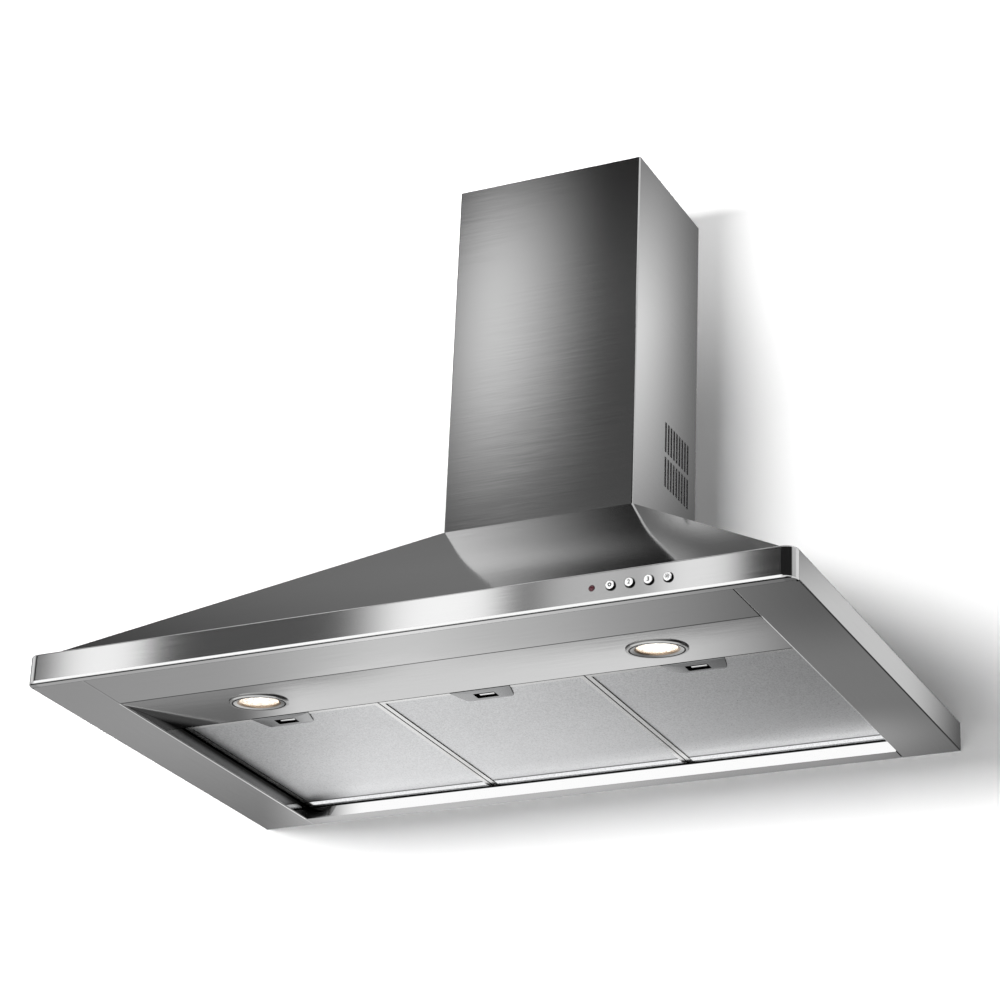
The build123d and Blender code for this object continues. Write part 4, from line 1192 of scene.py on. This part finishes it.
@dataclass
class FilterRow(SubAssembly):
    """The three grease filters with their handle plates and latches."""

    coats: Coats = (
        (RIM_METAL, ("left_filter_frame", "middle_filter_frame", "right_filter_frame")),
        (WEAVE, ("left_filter_mesh", "middle_filter_mesh", "right_filter_mesh")),
    )
    pitch: float = 0.252267
    front: float = -0.3194
    handle_front: float = 0.037
    handle_rear: float = 0.0285
    handle_depth: float = 0.030
    handle_low: float = 0.0159
    handle_high: float = 0.0225
    front_corner: float = 0.0008
    rear_corner: float = 0.006
    handle_edge: float = 0.0005
    handle_facets: int = 3
    slot_corner: float = 0.0015
    slot_half: float = 0.013
    slot_front: float = -0.3094
    slot_rear: float = -0.2954
    bar_low: Triple = (-0.0085, -0.3034, 0.0170)
    bar_high: Triple = (0.0105, -0.2994, 0.0247)
    bar_edge: float = 0.0012
    bar_facets: int = 4
    tongue_low: Triple = (-0.0085, -0.3207, 0.0232)
    tongue_high: Triple = (0.0085, -0.2996, 0.0247)
    tongue_edge: float = 0.0004
    tongue_facets: int = 2
    sides: tuple[tuple[str, int], ...] = (("left", -1), ("middle", 0), ("right", 1))

    def handle(self) -> bmesh.types.BMesh:
        """A tapered plate with rounded rear corners round its slot.

        Returns:
            The mesh.
        """
        bm = bmesh.new()
        rear = self.front + self.handle_depth
        half, corner = self.slot_half, self.slot_corner
        outline = [
            (-self.handle_front, self.front, self.front_corner),
            (self.handle_front, self.front, self.front_corner),
            (self.handle_rear, rear, self.rear_corner),
            (-self.handle_rear, rear, self.rear_corner),
        ]
        slot = [
            (-half, self.slot_front, corner), (half, self.slot_front, corner),
            (half, self.slot_rear, corner), (-half, self.slot_rear, corner),
        ]
        loops = [rounded_loop(bm, corners, self.handle_low) for corners in (outline, slot)]
        rim = set(loops[0])
        plate = bmesh.ops.bridge_loops(bm, edges=loops[0] + loops[1])["faces"]
        lifted = bmesh.ops.extrude_face_region(bm, geom=plate)["geom"]
        top = [item for item in lifted if isinstance(item, bmesh.types.BMVert)]
        bmesh.ops.translate(bm, verts=top, vec=(0.0, 0.0, self.handle_high - self.handle_low))
        bmesh.ops.recalc_face_normals(bm, faces=bm.faces)
        lower = [edge for edge in rim if edge.is_valid]
        bmesh.ops.bevel(
            bm, geom=lower, offset=self.handle_edge, segments=self.handle_facets, profile=0.5, affect="EDGES",
            material=-1, clamp_overlap=True,
        )
        return bm

    def latch(self) -> bmesh.types.BMesh:
        """A finger bar with a flat tongue that reaches over the panel's lip.

        Returns:
            The mesh.
        """
        bm = bmesh.new()
        rounded_bar(bm, self.bar_low, self.bar_high, self.bar_edge, self.bar_facets)
        rounded_bar(bm, self.tongue_low, self.tongue_high, self.tongue_edge, self.tongue_facets)
        return bm

    def build(self) -> None:
        """Make the plates and latches, and dress frames and mesh."""
        for side, number in self.sides:
            place = Matrix.Translation((number * self.pitch, 0.0, 0.0))
            plate = stand(self.handle(), f"{side}_filter_plate", place)
            soften(plate)
            settle(plate, f"{side}_filter", GRIP, [f"{side}_filter_handle"])
            latch = stand(self.latch(), f"{side}_filter_pull", place)
            soften(latch)
            settle(latch, f"{side}_latch", PULL, [f"{side}_filter_latch"])
        super().build()


@dataclass
class Blower(SubAssembly):
    """The fan, its housing, the outlet collar and the flaps."""

    coats: Coats = (
        (GREY, ("blower_housing_left", "blower_housing_right", "impeller", "outlet_collar", "collar_flange")),
        (ZINC, ("motor_bracket",)),
        (MOTOR, ("motor",)),
        (SHAFT, ("motor_shaft", "flap_pin", "blower_screws", "motor_screws")),
        (WHITE, ("front_flap", "rear_flap")),
    )


@dataclass
class Electrics(SubAssembly):
    """The control box and its neighbours."""

    coats: Coats = (
        (BLACK, ("control_box", "control_box_lid", "cable_gland")),
        (BOARD, ("control_board",)),
        (WHITE, ("capacitor",)),
    )


# Studio
@dataclass(frozen=True)
class Screen:
    """A flat studio screen that only shiny metal sees."""

    name: str
    corner: Triple
    along: Triple
    height: float
    finish: ScreenFinish

    def build(self) -> None:
        """Stand the screen up from a lower corner, along its run, facing the right of the run."""
        bm = bmesh.new()
        start, run = Vector(self.corner), Vector(self.along)
        lower = [bm.verts.new(start), bm.verts.new(start + run)]
        edge = bm.edges.new(lower)
        made = bmesh.ops.extrude_edge_only(bm, edges=[edge])["geom"]
        raised = [item for item in made if isinstance(item, bmesh.types.BMVert)]
        bmesh.ops.translate(bm, verts=raised, vec=(0.0, 0.0, self.height))
        face = next(iter(bm.faces))
        face.normal_update()
        if face.normal.dot(run.cross(Vector(UP))) < 0:
            face.normal_flip()
        screen = stand(bm, self.name)
        self.finish.dress(screen)
        screen.visible_camera = False
        screen.visible_diffuse = False
        screen.visible_shadow = False
        screen.visible_transmission = False
        log.info("stood %s", self.name)


@dataclass
class Studio:
    """Wall, floor, light, screens and camera."""

    wall_gap: float = 0.0006
    floor: float = -1.55
    reach: float = 7.0
    ambient: float = 0.23
    ambient_behind: float = 0.9
    ambient_turn: Pair = (-0.05, 0.05)
    key_place: Triple = (-1.3, -3.6, 0.29)
    key_size: Pair = (1.9, 0.45)
    key_aim: Triple = (0.0, -0.2, 0.3)
    key_power: float = 142.0
    eye: Triple = (1.36740, -3.03715, -1.12792)
    eye_right: Triple = (0.90241, 0.42907, 0.03946)
    eye_down: Triple = (-0.14442, 0.38746, -0.91050)
    lens: float = 106.06
    film: float = 36.0
    screens: list[Screen] = field(default_factory=list)

    def sheet(self, name: str, place: Matrix) -> bpy.types.Object:
        """A large pale sheet.

        Args:
            name: its name.
            place: where it lies, facing its own Z.

        Returns:
            The sheet.
        """
        bm = bmesh.new()
        bmesh.ops.create_grid(bm, x_segments=1, y_segments=1, size=self.reach)
        sheet = stand(bm, name, place)
        Backdrop("pale_backdrop").dress(sheet)
        sheet.visible_glossy = False
        log.info("laid %s", name)
        return sheet

    def world(self) -> None:
        """White all round to the eye and to mirrors, and a plain level of light on things."""
        world = bpy.data.worlds.new("studio_air")
        world.use_nodes = True
        bpy.context.scene.world = world
        graph = Graph(world.node_tree)
        way = graph.node("ShaderNodeTexCoord", out="Generated")
        behind = graph.node("ShaderNodeSeparateXYZ", None, {0: way}, "Y").step(*self.ambient_turn)
        level = behind * (self.ambient_behind - self.ambient) + self.ambient
        soft = graph.node("ShaderNodeBackground", None, {"Color": graph.tinted(FULL_WHITE, level)})
        white = graph.node("ShaderNodeBackground", None, {"Color": FULL_WHITE, "Strength": 1.0})
        mixed = graph.node("ShaderNodeMixShader", None, {0: graph.seen(), 1: soft, 2: white})
        graph.node("ShaderNodeOutputWorld", None, {"Surface": mixed})

    def key(self) -> None:
        """One large soft lamp from the front left."""
        lamp = bpy.data.lights.new("key_light", "AREA")
        lamp.shape = "RECTANGLE"
        lamp.size, lamp.size_y = self.key_size
        lamp.energy = self.key_power
        holder = bpy.data.objects.new("key_light", lamp)
        bpy.context.scene.collection.objects.link(holder)
        holder.location = self.key_place
        aim = Vector(self.key_aim) - Vector(self.key_place)
        holder.rotation_euler = aim.to_track_quat("-Z", "Y").to_euler()
        holder.visible_glossy = False

    def camera(self) -> None:
        """The photograph's viewpoint."""
        data = bpy.data.cameras.new("viewpoint")
        data.lens = self.lens
        data.sensor_width = self.film
        viewpoint = bpy.data.objects.new("viewpoint", data)
        bpy.context.scene.collection.objects.link(viewpoint)
        right, up = Vector(self.eye_right), -Vector(self.eye_down)
        turn = Matrix((right, up, right.cross(up))).transposed().to_4x4()
        viewpoint.matrix_world = Matrix.Translation(self.eye) @ turn
        bpy.context.scene.camera = viewpoint

    def build(self) -> None:
        """Set the studio up."""
        upright = Matrix.Translation((0.0, self.wall_gap, 0.0)) @ Matrix.Rotation(math.pi / 2, 4, "X")
        wall = self.sheet("pale_wall", upright)
        wall.visible_diffuse = wall.visible_shadow = False
        self.sheet("pale_floor", Matrix.Translation((0.0, 0.0, self.floor)))
        for screen in self.screens:
            screen.build()
        self.world()
        self.key()
        self.camera()
        bpy.context.scene.view_settings.view_transform = "Standard"


def studio_screens() -> list[Screen]:
    """The screens whose reflections give the steel its lights and darks.

    Returns:
        The screens.
    """
    front = ScreenFinish("front_screen", "X", 0.02, (
        SoftPatch((-6.0, -1.0), (0.0, 3.05), 0.06, (0.1, 0.06), (0.2, 0.3)),
        SoftPatch((-2.87, -2.59), (0.6, 2.05), 1.38, (0.06, 0.055)),
        SoftPatch((-2.36, -1.95), (0.6, 2.0), 0.035, (0.2, 0.1)),
        SoftPatch((-1.93, -1.58), (0.6, 1.95), 1.4, (0.11, 0.06)),
        SoftPatch((-1.47, -1.2), (0.6, 1.95), 0.62, (0.06, 0.08)),
        SoftPatch((-1.17, -0.96), (0.6, 1.95), 1.15, (0.05, 0.035)),
        SoftPatch((-2.12, -1.82), (2.38, 3.2), 0.92, (0.14, 0.2), (0.4, 0.32)),
        SoftPatch((-3.6, -2.4), (3.75, 4.75), 1.15, (0.3, 0.42), (0.15, 0.25)),
        SoftPatch((-3.8, -2.85), (4.75, 9.0), 1.1, (0.3, 0.45), (0.25, 0.3)),
    ))
    left = ScreenFinish("left_screen", "Y", 0.2, (
        SoftPatch((-3.2, 0.6), (1.2, 3.6), 0.75, (0.8, 0.5), (0.7, 0.7)),
    ))
    right = ScreenFinish("right_screen", "Y", 0.3, (
        SoftPatch((-5.0, -1.7), (1.2, 2.9), -0.28, (0.1, 0.3), (0.2, 0.3)),
        SoftPatch((-1.6, 1.4), (1.6, 4.8), 0.8, (0.5, 0.3), (0.8, 0.5)),
    ))
    rear = ScreenFinish("rear_screen", "X", 0.05, (
        SoftPatch((-1.2, -0.15), (0.9, 2.2), 0.15, (0.5, 0.35), (0.3, 0.3)),
        SoftPatch((0.42, 0.515), (0.72, 1.15), 0.95, (0.07, 0.03), (0.28, 0.22)),
        SoftPatch((0.57, 0.9), (1.14, 1.7), 0.42, (0.04, 0.1), (0.1, 0.2)),
        SoftPatch((0.3, 0.7), (0.55, 1.5), 0.12, (0.05, 0.05), (0.2, 0.1)),
        SoftPatch((0.66, 0.95), (0.2, 0.55), 0.72, (0.05, 0.05), (0.1, 0.1)),
        SoftPatch((-2.6, -0.15), (-1.2, 0.06), 0.12, (0.3, 0.3), (0.1, 0.1)),
        SoftPatch((-1.05, -0.15), (-1.2, -0.28), 0.3, (0.3, 0.22), (0.1, 0.14)),
        SoftPatch((-2.6, -1.05), (-1.2, -0.34), 0.22, (0.3, 0.3), (0.1, 0.1)),
        SoftPatch((-0.3, 0.45), (-1.2, 0.06), 0.1, (0.2, 0.1), (0.1, 0.1)),
        SoftPatch((-0.74, -0.44), (-1.2, -0.42), 0.4, (0.2, 0.24), (0.1, 0.03)),
        SoftPatch((-0.75, -0.42), (-0.44, -0.215), 0.62, (0.08, 0.34), (0.04, 0.035)),
        SoftPatch((-0.4, 0.2), (-0.28, -0.22), 0.45, (0.2, 0.14), (0.03, 0.05)),
        SoftPatch((-0.62, -0.34), (-0.215, -0.17), 0.62, (0.13, 0.24), (0.03, 0.014)),
        SoftPatch((-1.3, -0.72), (-0.215, -0.165), 0.16, (0.1, 0.1), (0.015, 0.014)),
        SoftPatch((-0.05, 0.4), (-0.42, -0.29), 0.11, (0.08, 0.1), (0.05, 0.03)),
        SoftPatch((-0.78, -0.02), (-0.17, -0.02), 0.68, (0.06, 0.16), (0.014, 0.08)),
    ))
    return [
        Screen("low_front_screen", (4.0, -4.0, 0.9), (-10.0, 0.0, 0.0), 1.7, front),
        Screen("high_front_screen", (-1.2, -4.0, 2.6), (-4.8, 0.0, 0.0), 5.8, front),
        Screen("right_screen", (4.0, 0.9, 0.4), (0.0, -4.9, 0.0), 4.2, right),
        Screen("left_screen", (-5.0, -4.0, 0.4), (0.0, 5.0, 0.0), 4.0, left),
        Screen("rear_screen", (-3.5, 0.6, -1.5), (4.6, 0.0, 0.0), 4.5, rear),
    ]


def main() -> None:
    """Build the sub-assemblies in order, then the studio."""
    logging.basicConfig(level=logging.INFO, format="%(message)s")
    for part in (Canopy(), Chimney(), LampRow(), ControlStrip(), FilterRow(), Blower(), Electrics()):
        log.info("building %s", type(part).__name__)
        part.build()
    Studio(screens=studio_screens()).build()


if __name__ == "__main__":
    main()
